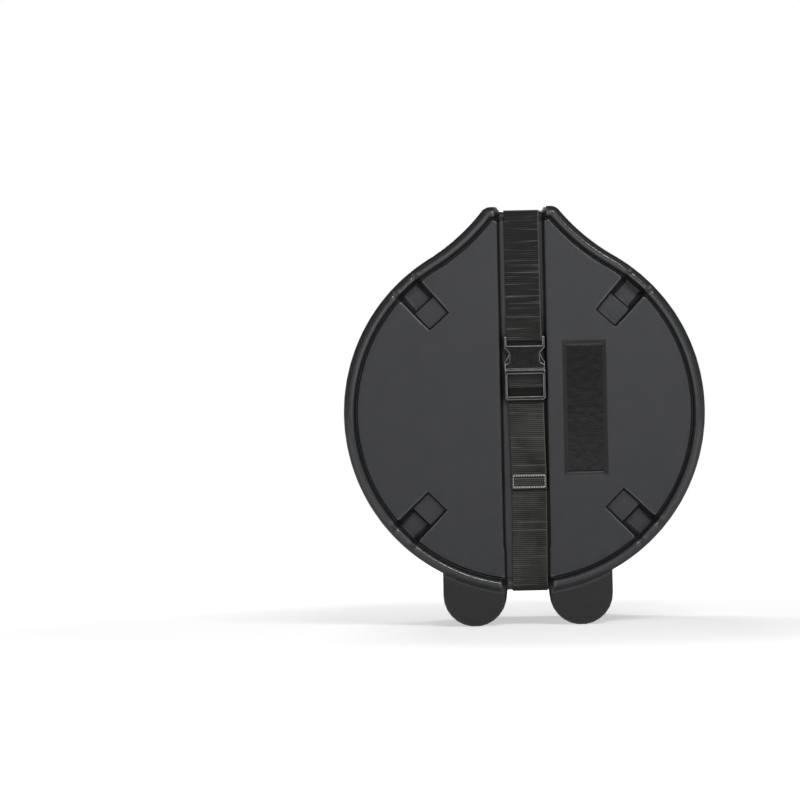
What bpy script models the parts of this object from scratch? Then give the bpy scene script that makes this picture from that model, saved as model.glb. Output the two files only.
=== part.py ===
"""Moulded tom drum case, standing on its feet with its lid on and its strap buckled.

Metres, +Z up. The origin is on the floor, midway between the feet. The lid faces -Y, the base
faces +Y and +X is to the right of someone who looks at the lid.
"""
import math

import bmesh
import bpy
from mathutils import Vector

# Driving dimensions of the case
BODY_RADIUS = 0.258
FLOOR_CLEARANCE = 0.047
HORN_RISE = 0.036
HORN_RADIUS = 0.016
HORN_OFFSET = 0.043
HORN_CORNER = 0.004
SHOULDER_RADIUS = 0.290
CASE_DEPTH = 0.430
LID_DEPTH = 0.190
LID_OVERLAP = 0.050
WALL = 0.005
LID_GAP = 0.001
TOUCH = 0.0003
OVERRUN = 0.020

# Lid face
LID_EDGE_RADIUS = 0.009
BEAD_WIDTH = 0.013
BEAD_SLOPE = 0.007
PANEL_DROP = 0.006
LABEL_OFFSET = 0.087
LABEL_WIDTH = 0.058
LABEL_HEIGHT = 0.189
LABEL_RISE = 0.0045
LABEL_DROP = 0.0025

# Base face
BASE_EDGE_RADIUS = 0.010
LEDGE_WIDTH = 0.020
LEDGE_SLOPE = 0.004
LEDGE_DROP = 0.008

# Strap channel
CHANNEL_MARGIN = 0.005
CHANNEL_FLARE = 0.008
CHANNEL_DROP = 0.013
CHANNEL_TOP_DROP = 0.006
CHANNEL_BOTTOM_RISE = 0.0043
CHANNEL_BOTTOM_DEPTH = 0.006
CHANNEL_CORNER = 0.008

# Corner recesses
LID_RECESS_WIDTH = 0.037
LID_RECESS_MARGIN = 0.014
LID_RECESS_OUTER_LENGTH = 0.035
LID_RECESS_INNER_LENGTH = 0.032
LID_RECESS_SHALLOW = 0.006
LID_RECESS_DEEP = 0.014
LID_RECESS_ANGLES = (42.0, 134.5, 225.5, 318.0)
BASE_RECESS_WIDTH = 0.040
BASE_RECESS_LENGTH = 0.049
BASE_GROOVE_MARGIN = 0.035
BASE_GROOVE_DENT = 0.016
BASE_GROOVE_DEEP = 0.022
BASE_GROOVE_RAMP = 0.014
BASE_GROOVE_SHARE = 0.75
BASE_RECESS_ANGLES = (42.0, 138.0, 222.0, 318.0)

# Feet
LID_FOOT_RADIUS = 0.0455
LID_FOOT_OFFSET = 0.076
LID_FOOT_SETBACK = 0.006
BASE_FOOT_RADIUS = 0.0265
BASE_FOOT_OFFSET = 0.085
BASE_FOOT_GAP = 0.004
FOOT_FLAT = 0.012
FOOT_EDGE = 0.005
FOOT_ROOT_RISE = 0.063

# Webbing
WEB_WIDTH = 0.050
WEB_THICKNESS = 0.0017
WEB_STEP_LENGTH = 0.020

# Side-release buckle
BUCKLE_RISE = 0.061
BUCKLE_THICKNESS = 0.0095
SOCKET_LENGTH = 0.047
PLUG_LENGTH = 0.044
WEB_PLAY = 0.0008
BUCKLE_SKIN = 0.0018
BUCKLE_EDGE = 0.0012
RAIL_WIDTH = 0.0030
SOCKET_BAR = 0.0060
SOCKET_SLOT = 0.0075
SOCKET_SHOULDER = 0.0070
SOCKET_WAIST = 0.0070
POCKET_DEPTH = 0.026
PRONG_WIDTH = 0.0050
PRONG_INSET = 0.0093
PRONG_LENGTH = 0.023
PRONG_SHOULDER_SLOPE = 0.006
PRONG_SHOULDER_START = 0.004
PRONG_SHOULDER_END = 0.016
PRONG_CUT = 0.0030
TONGUE_WIDTH = 0.0080
TONGUE_LENGTH = 0.019
CROSSBAR_HEIGHT = 0.0060
LADDER_BAR = 0.0050
LADDER_BAR_THICKNESS = 0.0030
RELEASE_GAP = 0.0004
SOCKET_BAR_THICKNESS = 0.0050
SOCKET_BAR_EDGE = 0.0023
LADDER_EDGE = 0.0013
SOCKET_RIB_GAP = 0.0010
SOCKET_RIB = 0.0025
WAIST_RISE = 0.0030
PRONG_EDGE = 0.0006
LADDER_LOW = 0.0130
TURN_BELOW = 0.0040
TURN_SLANT = 0.0060

# Tail of the strap
TAIL_LENGTH = 0.128
HEM_HEIGHT = 0.026
LOOP_LENGTH = 0.029
LOOP_SLANT = 0.009
LOOP_BACK_RISE = 0.004
UPPER_SPLIT_DROP = 0.041

# Handle
HANDLE_OVERHANG = 0.0125
HANDLE_THICKNESS = 0.0140
HANDLE_DEPTH = 0.024
HANDLE_CLEARANCE = 0.0085
HANDLE_REACH = 0.042
HANDLE_SETBACK = 0.055
HANDLE_EDGE = 0.0050
ARM_WIDTH = 0.0115
ARM_THICKNESS = 0.0120
ARM_EDGE = 0.0020
ARM_SETBACK = 0.0010
LUG_WIDTH = 0.0080
LUG_LENGTH = 0.014
LUG_GAP = 0.0010
PIN_RADIUS = 0.0030
PIN_HEAD_RADIUS = 0.0050
PIN_HEAD_LENGTH = 0.0025
PIN_PLAY = 0.0003
PLATE_THICKNESS = 0.0025
PLATE_LENGTH = 0.056
PLATE_WIDTH = 0.0115
RIVET_SPACING = 0.040
RIVET_RADIUS = 0.0022
RIVET_HEAD_RADIUS = 0.0038
RIVET_HEAD_HEIGHT = 0.0018
RIVET_LENGTH = 0.0080
BOSS_WIDTH = 0.016
BOSS_MARGIN = 0.0008
BOSS_HEIGHT = 0.020
BOSS_EDGE = 0.003

# Foam pads
FLOOR_PAD_MARGIN = 0.004
FLOOR_PAD_THICKNESS = 0.010
FLOOR_PAD_GAP = 0.012
PAD_EDGE = 0.002
HOOP_PAD_THICKNESS = 0.010
HOOP_PAD_MARGIN = 0.003
CRADLE_PAD_THICKNESS = 0.014
CRADLE_PAD_WIDTH = 0.034
CRADLE_PAD_SETBACK = 0.020
CRADLE_PAD_FACE_GAP = 0.050

# Smoothness of the curves
HORN_STEPS = 4
SHOULDER_STEPS = 7
ROUND_STEPS = 28
EDGE_STEPS = 3
CORNER_STEPS = 6
FOOT_STEPS = 12
PIN_SIDES = 20
PAD_STEPS = 14
SMOOTH_ANGLE = math.radians(32)

# Heights, depths and widths that follow from the dimensions above
BODY_CENTRE_HEIGHT = FLOOR_CLEARANCE + BODY_RADIUS
TOP_HEIGHT = BODY_CENTRE_HEIGHT + BODY_RADIUS + HORN_RISE
LID_FACE = -CASE_DEPTH / 2
BASE_FACE = CASE_DEPTH / 2
LID_RIM = LID_FACE + LID_DEPTH
BASE_RIM = LID_RIM - LID_OVERLAP
BASE_INSET = WALL + LID_GAP
PANEL_FACE = LID_FACE + PANEL_DROP
LID_FLOOR = LID_FACE + CHANNEL_DROP
BASE_FLOOR = BASE_FACE - CHANNEL_DROP
LID_CHANNEL_TOP = TOP_HEIGHT - CHANNEL_TOP_DROP
LID_CHANNEL_BOTTOM = FLOOR_CLEARANCE + CHANNEL_BOTTOM_RISE
BASE_CHANNEL_TOP = LID_CHANNEL_TOP - BASE_INSET
BASE_CHANNEL_BOTTOM = LID_CHANNEL_BOTTOM + BASE_INSET
CHANNEL_FLOOR = WEB_WIDTH + 2 * CHANNEL_MARGIN
FLARE_SLOPE = CHANNEL_FLARE / CHANNEL_DROP
LABEL_MIDDLE = BODY_CENTRE_HEIGHT + LABEL_RISE
LID_RECESS_END = BODY_RADIUS - LID_RECESS_MARGIN
LID_RECESS_STEP = LID_RECESS_END - LID_RECESS_OUTER_LENGTH
LID_RECESS_START = LID_RECESS_STEP - LID_RECESS_INNER_LENGTH
BASE_GROOVE_START = BODY_RADIUS - BASE_GROOVE_MARGIN
BASE_RECESS_START = BASE_GROOVE_START - BASE_RECESS_LENGTH
BASE_GROOVE_LENGTH = (BASE_FACE - LID_RIM) * BASE_GROOVE_SHARE
FOOT_ROOT_HEIGHT = FLOOR_CLEARANCE + FOOT_ROOT_RISE
WEB_FRONT = LID_FLOOR - TOUCH
BUCKLE_BACK = WEB_FRONT - WEB_THICKNESS - TOUCH
BUCKLE_FRONT = BUCKLE_BACK - BUCKLE_THICKNESS
TAIL_BACK = BUCKLE_BACK
TAIL_FRONT = TAIL_BACK - WEB_THICKNESS - TOUCH
BUCKLE_WIDTH = WEB_WIDTH + 2 * (RAIL_WIDTH + WEB_PLAY)
BUCKLE_MOUTH = BODY_CENTRE_HEIGHT + BUCKLE_RISE
BUCKLE_TOP = BUCKLE_MOUTH + SOCKET_LENGTH
BUCKLE_BOTTOM = BUCKLE_MOUTH - PLUG_LENGTH
WINDOW_TOP = BUCKLE_MOUTH + POCKET_DEPTH
PRONG_OFFSET = BUCKLE_WIDTH / 2 - PRONG_INSET
PRONG_REACH = BUCKLE_MOUTH + PRONG_LENGTH
PRONG_SHOULDER_LOW = BUCKLE_MOUTH + PRONG_SHOULDER_START
PRONG_SHOULDER_HIGH = BUCKLE_MOUTH + PRONG_SHOULDER_END
TONGUE_REACH = BUCKLE_MOUTH + TONGUE_LENGTH
TAIL_END = BUCKLE_BOTTOM - TAIL_LENGTH
UPPER_SPLIT = TOP_HEIGHT - UPPER_SPLIT_DROP
LOOP_END = BUCKLE_TOP + LOOP_LENGTH
LOOP_BACK_TOP = BUCKLE_TOP + LOOP_BACK_RISE
LADDER_MIDDLE = BUCKLE_BOTTOM + LADDER_BAR + LADDER_LOW
PRONG_BACK = BUCKLE_BACK - BUCKLE_SKIN - RELEASE_GAP
PRONG_FRONT = BUCKLE_FRONT + BUCKLE_SKIN + RELEASE_GAP
PRONG_MIDDLE = (PRONG_BACK + PRONG_FRONT) / 2
HANDLE_LENGTH = 2 * (HORN_OFFSET + HANDLE_OVERHANG)
HANDLE_PIVOT_Y = LID_RIM + HANDLE_SETBACK
PIVOT_Z = TOP_HEIGHT - BASE_INSET + HANDLE_CLEARANCE + HANDLE_THICKNESS / 2
FLOOR_PAD_RADIUS = min(BASE_RECESS_START, LID_RECESS_START) - WALL - FLOOR_PAD_MARGIN
FLOOR_PAD_OFFSET = CHANNEL_FLOOR / 2 + BASE_INSET + WALL + FLOOR_PAD_GAP
CRADLE_PAD_LENGTH = BASE_GROOVE_LENGTH - CRADLE_PAD_SETBACK - CRADLE_PAD_FACE_GAP


def clear_scene():
    for item in list(bpy.data.objects):
        bpy.data.objects.remove(item, do_unlink=True)


def material(name, colour, roughness, metallic=0.0):
    """A Principled material in one colour."""
    finish = bpy.data.materials.new(name)
    finish.use_nodes = True
    shader = finish.node_tree.nodes["Principled BSDF"]
    shader.inputs["Base Color"].default_value = (*colour, 1)
    shader.inputs["Roughness"].default_value = roughness
    shader.inputs["Metallic"].default_value = metallic
    return finish


def add_object(name, verts, faces, finish=None):
    """An object from points and faces, with its faces turned outward."""
    mesh = bpy.data.meshes.new(name)
    shape = bmesh.new()
    points = [shape.verts.new(point) for point in verts]
    for face in faces:
        shape.faces.new([points[index] for index in face])
    bmesh.ops.recalc_face_normals(shape, faces=shape.faces)
    shape.to_mesh(mesh)
    shape.free()
    mesh.shade_smooth()
    mesh.set_sharp_from_angle(angle=SMOOTH_ANGLE)
    item = bpy.data.objects.new(name, mesh)
    bpy.context.scene.collection.objects.link(item)
    if finish:
        mesh.materials.append(finish)
    return item


def loft(name, rings, finish=None):
    """A closed body through rings of points, all of one count."""
    count = len(rings[0])
    verts = [point for ring in rings for point in ring]
    faces = [list(range(count)), list(range((len(rings) - 1) * count, len(rings) * count))]
    for row in range(len(rings) - 1):
        for side in range(count):
            here = row * count + side
            beside = row * count + (side + 1) % count
            faces.append([here, beside, beside + count, here + count])
    return add_object(name, verts, faces, finish)


def block(name, low, high, finish=None, edge=0.0, steps=2):
    """A box between two corners, with rounded edges where an edge width is given."""
    ring = [(0, 0), (1, 0), (1, 1), (0, 1)]
    rings = [[(high[0] if u else low[0], high[1] if v else low[1], z) for u, v in ring]
             for z in (low[2], high[2])]
    item = loft(name, rings, finish)
    if edge:
        round_edges(item, edge, steps)
    return item


def round_edges(item, width, steps=2):
    bevel = item.modifiers.new("rounded_edges", "BEVEL")
    bevel.width = width
    bevel.segments = steps
    bevel.limit_method = "ANGLE"
    return item


def combine(target, tool, operation):
    """Cuts, joins or trims a body with a tool, which is then only a guide."""
    step = target.modifiers.new(tool.name, "BOOLEAN")
    step.operation = operation
    step.solver = "EXACT"
    step.object = tool
    tool.hide_render = True
    tool.display_type = "WIRE"


def cut(target, *tools):
    for tool in tools:
        combine(target, tool, "DIFFERENCE")


def join(target, *tools):
    for tool in tools:
        combine(target, tool, "UNION")


def heading(angle):
    """Direction in the XZ plane, from straight up, clockwise as seen on the lid."""
    return Vector((math.sin(angle), math.cos(angle)))


def heading_of(line):
    return math.atan2(line.x, line.y)


def arc(centre, radius, start, end, steps):
    return [centre + radius * heading(start + (end - start) * step / steps)
            for step in range(steps + 1)]


def shoulder_centre():
    """Centre of the hollow curve that touches both the round body and the horn."""
    axis = Vector((0, BODY_CENTRE_HEIGHT))
    horn = Vector((HORN_OFFSET, TOP_HEIGHT - HORN_RADIUS))
    far = BODY_RADIUS + SHOULDER_RADIUS
    near = HORN_RADIUS + SHOULDER_RADIUS
    span = (horn - axis).length
    along = (far ** 2 - near ** 2 + span ** 2) / (2 * span)
    across = math.sqrt(far ** 2 - along ** 2)
    line = (horn - axis) / span
    return axis + line * along + Vector((line.y, -line.x)) * across


def outline(inset):
    """Outline of the body, moved inward: a round body, hollow shoulders and two horns."""
    hollow = shoulder_centre()
    axis = Vector((0, BODY_CENTRE_HEIGHT))
    radius = max(HORN_RADIUS - inset, HORN_CORNER)
    height = TOP_HEIGHT - inset - radius
    reach = SHOULDER_RADIUS + inset + radius
    horn = Vector((hollow.x - math.sqrt(reach ** 2 - (hollow.y - height) ** 2), height))
    horn_end = heading_of(hollow - horn)
    round_start = heading_of(hollow - axis)
    right = arc(horn, radius, 0, horn_end, HORN_STEPS)
    right += arc(hollow, -(SHOULDER_RADIUS + inset), horn_end, round_start, SHOULDER_STEPS)[1:-1]
    right += arc(axis, BODY_RADIUS - inset, round_start, math.pi, ROUND_STEPS)
    left = [Vector((-point.x, point.y)) for point in reversed(right[:-1])]
    return right + left


def ring(y, inset):
    return [(point.x, y, point.y) for point in outline(inset)]


def edge_rings(side, face, radius, inset):
    """Rings that roll a wall over into a face. Side is -1 for the lid and 1 for the base."""
    rings = []
    for step in range(EDGE_STEPS + 1):
        turn = math.pi / 2 * step / EDGE_STEPS
        depth = face - side * radius * (1 - math.sin(turn))
        rings.append(ring(depth, inset + radius * (1 - math.cos(turn))))
    return rings


def channel_path(side, start, face, top, bottom, out=0.0):
    """Stations of the channel floor, moved outward: along the top, down the face, back below.

    Each station is y, z and the outward direction there.
    """
    stations = [(start, top + out, 0, 1)]
    for centre_z, first in ((top - CHANNEL_CORNER, True), (bottom + CHANNEL_CORNER, False)):
        for step in range(CORNER_STEPS + 1):
            turn = math.pi / 2 * step / CORNER_STEPS
            toward_y = side * (math.sin(turn) if first else math.cos(turn))
            toward_z = math.cos(turn) if first else -math.sin(turn)
            reach = CHANNEL_CORNER + out
            stations.append((face - side * CHANNEL_CORNER + reach * toward_y,
                             centre_z + reach * toward_z, toward_y, toward_z))
    stations.append((start, bottom - out, 0, -1))
    return stations


def channel_cutter(name, stations, half_floor, bottom_depth):
    """A flared bar that follows the channel floor. It is shallow below, to spare the feet."""
    rings = []
    for y, z, toward_y, toward_z in stations:
        below_share = min(toward_z, 0) ** 2
        depth = OVERRUN + (bottom_depth - OVERRUN) * below_share
        half_top = half_floor + depth * FLARE_SLOPE
        out_y = y + depth * toward_y
        out_z = z + depth * toward_z
        rings.append([(-half_floor, y, z), (half_floor, y, z),
                      (half_top, out_y, out_z), (-half_top, out_y, out_z)])
    return loft(name, rings)


def radial_prism(name, degrees, profile, width):
    """A bar of one width, from a profile of distance from the body's axis and depth."""
    turn = math.radians(degrees)
    along = heading(turn)
    across = Vector((along.y, -along.x))
    rings = []
    for side in (-1, 1):
        shift = across * (side * width / 2)
        rings.append([(along.x * reach + shift.x, y, BODY_CENTRE_HEIGHT + along.y * reach + shift.y)
                      for reach, y in profile])
    return loft(name, rings)


def foot_outline(offset, radius, inset, root):
    """A tongue with a round lower end and a narrow flat to stand on."""
    flat_turn = math.asin(FOOT_FLAT / 2 / radius)
    centre = Vector((offset, radius * math.cos(flat_turn)))
    points = [Vector((offset + radius - inset, root))]
    points += arc(centre, radius - inset, math.pi / 2, math.pi - flat_turn, FOOT_STEPS // 2)
    points += arc(centre, radius - inset, math.pi + flat_turn, math.pi * 3 / 2, FOOT_STEPS // 2)
    points += [Vector((offset - radius + inset, root))]
    return points


def foot(name, offset, radius, start, face, inset=0.0):
    """A foot from its open end to its rounded face."""
    side = 1 if face > start else -1
    rings = [[(p.x, start, p.y) for p in foot_outline(offset, radius, inset, FOOT_ROOT_HEIGHT)]]
    for step in range(EDGE_STEPS + 1):
        turn = math.pi / 2 * step / EDGE_STEPS
        depth = face - side * (inset + FOOT_EDGE * (1 - math.sin(turn)))
        narrow = inset + FOOT_EDGE * (1 - math.cos(turn))
        rings.append([(p.x, depth, p.y)
                      for p in foot_outline(offset, radius, narrow, FOOT_ROOT_HEIGHT)])
    return loft(name, rings)


def shell(name, side, rim, face_rings, cavity_rings, channel, recesses, feet, finish):
    """A moulded shell of even wall: its outside with every cut, less its inside."""
    body = loft(name, face_rings, finish)
    hollow = loft(name + "_hollow", cavity_rings)
    start, face, top, bottom, half_floor = channel
    run = channel_path(side, start, face, top, bottom)
    rib = channel_path(side, start, face, top, bottom, -WALL)
    cut(body, channel_cutter(name + "_channel", run, half_floor, CHANNEL_BOTTOM_DEPTH))
    cut(hollow, channel_cutter(name + "_channel_rib", rib, half_floor + WALL,
                               CHANNEL_BOTTOM_DEPTH + WALL))
    angles, profiles, rib_profiles, width = recesses
    for number, degrees in enumerate(angles):
        for part, profile in enumerate(profiles):
            cut(body, radial_prism(f"{name}_recess_{number}_{part}", degrees, profile, width))
        for part, profile in enumerate(rib_profiles):
            cut(hollow, radial_prism(f"{name}_rib_{number}_{part}", degrees, profile,
                                     width + 2 * WALL))
    offset, radius, foot_start, foot_face = feet
    for number, place in enumerate((-offset, offset)):
        join(body, foot(f"{name}_foot_{number}", place, radius, foot_start, foot_face))
        inner_start = foot_start - side * OVERRUN if foot_start == rim else foot_start + side * WALL
        join(hollow, foot(f"{name}_foot_hollow_{number}", place, radius, inner_start, foot_face,
                          WALL))
    return body, hollow


def make_lid(finish):
    side = -1
    face_rings = [ring(LID_RIM, 0)] + edge_rings(side, LID_FACE, LID_EDGE_RADIUS, 0)
    face_rings += [ring(LID_FACE, BEAD_WIDTH), ring(PANEL_FACE, BEAD_WIDTH + BEAD_SLOPE)]
    cavity_rings = [ring(LID_RIM + OVERRUN, WALL)]
    cavity_rings += edge_rings(side, PANEL_FACE + WALL, LID_EDGE_RADIUS, WALL)
    channel = (LID_RIM + OVERRUN, LID_FLOOR, LID_CHANNEL_TOP, LID_CHANNEL_BOTTOM,
               CHANNEL_FLOOR / 2)
    shallow = PANEL_FACE + LID_RECESS_SHALLOW
    deep = PANEL_FACE + LID_RECESS_DEEP
    outside = LID_FACE - OVERRUN
    profile = [(LID_RECESS_START, outside), (LID_RECESS_START, shallow),
               (LID_RECESS_STEP, shallow), (LID_RECESS_STEP, deep),
               (LID_RECESS_END, deep), (LID_RECESS_END, outside)]
    past_wall = BODY_RADIUS + OVERRUN
    rib = [(LID_RECESS_START - WALL, outside), (LID_RECESS_START - WALL, shallow + WALL),
           (LID_RECESS_STEP - WALL, shallow + WALL), (LID_RECESS_STEP - WALL, deep + WALL),
           (past_wall, deep + WALL), (past_wall, outside)]
    recesses = (LID_RECESS_ANGLES, [profile], [rib], LID_RECESS_WIDTH)
    feet = (LID_FOOT_OFFSET, LID_FOOT_RADIUS, LID_RIM, LID_FACE + LID_FOOT_SETBACK)
    body, hollow = shell("lid_shell", side, LID_RIM, face_rings, cavity_rings, channel, recesses,
                         feet, finish)
    label = block("lid_label_cut",
                  (LABEL_OFFSET - LABEL_WIDTH / 2, outside, LABEL_MIDDLE - LABEL_HEIGHT / 2),
                  (LABEL_OFFSET + LABEL_WIDTH / 2, PANEL_FACE + LABEL_DROP,
                   LABEL_MIDDLE + LABEL_HEIGHT / 2))
    cut(body, label, hollow)
    return body


def make_base(finish):
    side = 1
    ledge = BASE_FACE - LEDGE_DROP
    ledge_end = BASE_INSET + LEDGE_WIDTH
    face_rings = [ring(BASE_RIM, BASE_INSET)]
    face_rings += edge_rings(side, ledge, BASE_EDGE_RADIUS, BASE_INSET)
    face_rings += [ring(ledge, ledge_end), ring(BASE_FACE, ledge_end + LEDGE_SLOPE)]
    inner = BASE_INSET + WALL
    cavity_rings = [ring(BASE_RIM - OVERRUN, inner)]
    cavity_rings += edge_rings(side, ledge - WALL, BASE_EDGE_RADIUS, inner)
    cavity_rings += [ring(ledge - WALL, ledge_end + WALL),
                     ring(BASE_FACE - WALL, ledge_end + LEDGE_SLOPE + WALL)]
    channel = (BASE_RIM - OVERRUN, BASE_FLOOR, BASE_CHANNEL_TOP, BASE_CHANNEL_BOTTOM,
               CHANNEL_FLOOR / 2 + BASE_INSET)
    outside = BASE_FACE + OVERRUN
    wall_radius = BODY_RADIUS - BASE_INSET
    dent = wall_radius - BASE_GROOVE_DENT
    past_wall = wall_radius + OVERRUN
    groove_floor = BASE_FACE - BASE_GROOVE_DEEP
    groove_end = BASE_FACE - BASE_GROOVE_LENGTH
    notch = [(BASE_RECESS_START, outside), (BASE_RECESS_START, ledge),
             (BASE_GROOVE_START, ledge), (BASE_GROOVE_START, groove_floor),
             (dent, groove_floor - BASE_GROOVE_RAMP), (dent, groove_end),
             (past_wall, groove_end), (past_wall, outside)]
    rib = [(BASE_RECESS_START - WALL, outside), (BASE_RECESS_START - WALL, ledge - WALL),
           (BASE_GROOVE_START - WALL, ledge - WALL),
           (BASE_GROOVE_START - WALL, groove_floor - WALL),
           (dent - WALL, groove_floor - BASE_GROOVE_RAMP - WALL), (dent - WALL, groove_end - WALL),
           (past_wall, groove_end - WALL), (past_wall, outside)]
    recesses = (BASE_RECESS_ANGLES, [notch], [rib], BASE_RECESS_WIDTH)
    feet = (BASE_FOOT_OFFSET, BASE_FOOT_RADIUS, LID_RIM + BASE_FOOT_GAP, ledge)
    body, hollow = shell("base_shell", side, BASE_RIM, face_rings, cavity_rings, channel,
                         recesses, feet, finish)
    top = TOP_HEIGHT - BASE_INSET
    for number, sign in enumerate((-1, 1)):
        near = lug_span()[0] - BOSS_MARGIN
        ends = sorted((sign * near, sign * (near + BOSS_WIDTH)))
        boss = block(f"handle_boss_{number}", (ends[0], LID_RIM + BASE_FOOT_GAP, top - BOSS_HEIGHT),
                     (ends[1], BASE_FACE - LEDGE_DROP, top), edge=BOSS_EDGE)
        join(body, boss)
        for place, (x, y) in enumerate(rivet_places(sign)):
            cut(body, stud(f"boss_hole_{number}_{place}", x, y, top - RIVET_LENGTH - PIN_PLAY,
                           top + OVERRUN, RIVET_RADIUS + PIN_PLAY))
    cut(body, hollow)
    return body


def web_run(name, points, finish):
    """A length of webbing along a line of y, z points on its inner side.

    Its thickness lies on the right of the way along the line, seen from +X.
    """
    rings = []
    count = len(points)
    for index, point in enumerate(points):
        before = (point - points[index - 1]).normalized() if index else None
        after = (points[index + 1] - point).normalized() if index + 1 < count else None
        way = ((before or after) + (after or before)).normalized()
        lean = way.dot(after or before)
        outer = point + Vector((way.y, -way.x)) * (WEB_THICKNESS / lean)
        half = WEB_WIDTH / 2
        rings.append([(-half, *point), (half, *point), (half, *outer), (-half, *outer)])
    return loft(name, rings, finish)


def web_path(side, start, face, top, bottom):
    """Inner line of the strap round one half of the case, from the top to the bottom."""
    return [Vector(station[:2])
            for station in channel_path(side, start, face, top, bottom, TOUCH)]


def turn_round(centre, radius, start, end):
    """Points round a bar, by angle from straight up toward +Y."""
    return [centre + radius * heading(start + (end - start) * step / CORNER_STEPS)
            for step in range(CORNER_STEPS + 1)]


def make_strap(web):
    """The strap, in the lengths that the lid, the base and the buckle each carry."""
    lid_line = web_path(-1, LID_RIM, LID_FLOOR, LID_CHANNEL_TOP, LID_CHANNEL_BOTTOM)
    half = len(lid_line) // 2
    web_run("web_lid_top", lid_line[:half] + [Vector((WEB_FRONT, UPPER_SPLIT))], web)
    web_run("web_front_upper", [Vector((WEB_FRONT, UPPER_SPLIT - TOUCH)),
                                Vector((WEB_FRONT, LOOP_BACK_TOP + TOUCH))], web)
    web_run("web_lid_lower", [Vector((WEB_FRONT, BUCKLE_BOTTOM - TURN_BELOW - TOUCH))]
            + lid_line[half:], web)
    make_rear_web(web)
    make_loop_web(web)
    make_turn_web(web)
    low = TAIL_END + HEM_HEIGHT + TOUCH
    web_run("web_tail", [Vector((TAIL_BACK, BUCKLE_BOTTOM - TURN_BELOW - TOUCH)),
                         Vector((TAIL_BACK, low))], web)
    width = WEB_WIDTH / 2
    block("web_tail_hem", (-width, TAIL_BACK - 2 * WEB_THICKNESS, TAIL_END),
          (width, TAIL_BACK, TAIL_END + HEM_HEIGHT), web)


def make_rear_web(web):
    """The strap round the base. It steps up at each end to meet the lid's lengths."""
    base_line = web_path(1, LID_RIM + WEB_STEP_LENGTH, BASE_FLOOR, BASE_CHANNEL_TOP,
                         BASE_CHANNEL_BOTTOM)
    start = LID_RIM + TOUCH
    flat = start + WEB_THICKNESS
    high = LID_CHANNEL_TOP + TOUCH
    low = LID_CHANNEL_BOTTOM - TOUCH
    line = [Vector((start, low)), Vector((flat, low))] + list(reversed(base_line))
    web_run("web_base", line + [Vector((flat, high)), Vector((start, high))], web)


def make_loop_web(web):
    """The strap's sewn end, looped round the socket's bar."""
    radius = (SOCKET_BAR_THICKNESS + 2 * TOUCH) / 2
    centre = Vector((BUCKLE_BACK - SOCKET_BAR_THICKNESS / 2,
                     BUCKLE_TOP - SOCKET_BAR + radius - TOUCH))
    turn = turn_round(centre, radius, -math.pi / 2, -math.pi * 3 / 2)
    front = centre.x - radius
    line = [Vector((BUCKLE_BACK, LOOP_END)), Vector((BUCKLE_BACK, BUCKLE_TOP + LOOP_SLANT)),
            Vector((front, BUCKLE_TOP + WEB_THICKNESS))]
    back_top = Vector((centre.x + radius, LOOP_BACK_TOP))
    web_run("web_loop", line + turn + [back_top], web)


def make_turn_web(web):
    """The strap's turn through the plug: up behind its middle bar and down over it."""
    radius = (LADDER_BAR_THICKNESS + 2 * TOUCH) / 2
    end = BUCKLE_BOTTOM - TURN_BELOW
    back = BUCKLE_BACK + TOUCH
    centre = Vector((back - radius, LADDER_MIDDLE + LADDER_BAR - radius + TOUCH))
    turn = turn_round(centre, radius, math.pi / 2, -math.pi / 2)
    line = [Vector((back, end))] + turn
    line += [Vector((back - 2 * radius, LADDER_MIDDLE)),
             Vector((TAIL_BACK, LADDER_MIDDLE - TURN_SLANT)), Vector((TAIL_BACK, end))]
    web_run("web_adjuster_turn", line, web)


def slab(name, points, back, front, finish=None, edge=0.0):
    """A plate between two depths, from an outline of x, z points."""
    item = loft(name, [[(x, y, z) for x, z in points] for y in (back, front)], finish)
    if edge:
        round_edges(item, edge)
    return item


def both_sides(points):
    """A closed outline from its right half, listed from the top down."""
    return points + [(-x, z) for x, z in reversed(points)]


def make_socket(plastic):
    """The socket: a web bar above, and a flat pocket for the plug's prongs below."""
    half = BUCKLE_WIDTH / 2
    waist = half - SOCKET_WAIST
    slot_low = BUCKLE_TOP - SOCKET_BAR - SOCKET_SLOT
    right = [(half, BUCKLE_TOP), (half, slot_low - WAIST_RISE), (waist, WINDOW_TOP - WAIST_RISE),
             (waist, BUCKLE_MOUTH + SOCKET_SHOULDER + WAIST_RISE),
             (half, BUCKLE_MOUTH + SOCKET_SHOULDER), (half, BUCKLE_MOUTH)]
    body = slab("buckle_socket", both_sides(right), BUCKLE_BACK, BUCKLE_FRONT, plastic,
                BUCKLE_EDGE)
    inside = half - RAIL_WIDTH
    cut(body, block("socket_slot", (-inside, BUCKLE_FRONT - OVERRUN, slot_low),
                    (inside, BUCKLE_BACK + OVERRUN, BUCKLE_TOP + OVERRUN)))
    join(body, block("socket_bar", (-half + BUCKLE_EDGE, BUCKLE_BACK - SOCKET_BAR_THICKNESS,
                                    BUCKLE_TOP - SOCKET_BAR),
                     (half - BUCKLE_EDGE, BUCKLE_BACK, BUCKLE_TOP), edge=SOCKET_BAR_EDGE))
    rib_in = TONGUE_WIDTH / 2 + SOCKET_RIB_GAP
    rib_out = rib_in + SOCKET_RIB
    spans = ((-rib_in, rib_in), (rib_out, half + OVERRUN), (-half - OVERRUN, -rib_out))
    for number, (left, right_end) in enumerate(spans):
        cut(body, block(f"socket_pocket_{number}",
                        (left, BUCKLE_FRONT + BUCKLE_SKIN, BUCKLE_MOUTH - OVERRUN),
                        (right_end, BUCKLE_BACK - BUCKLE_SKIN, WINDOW_TOP)))
    return body


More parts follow.
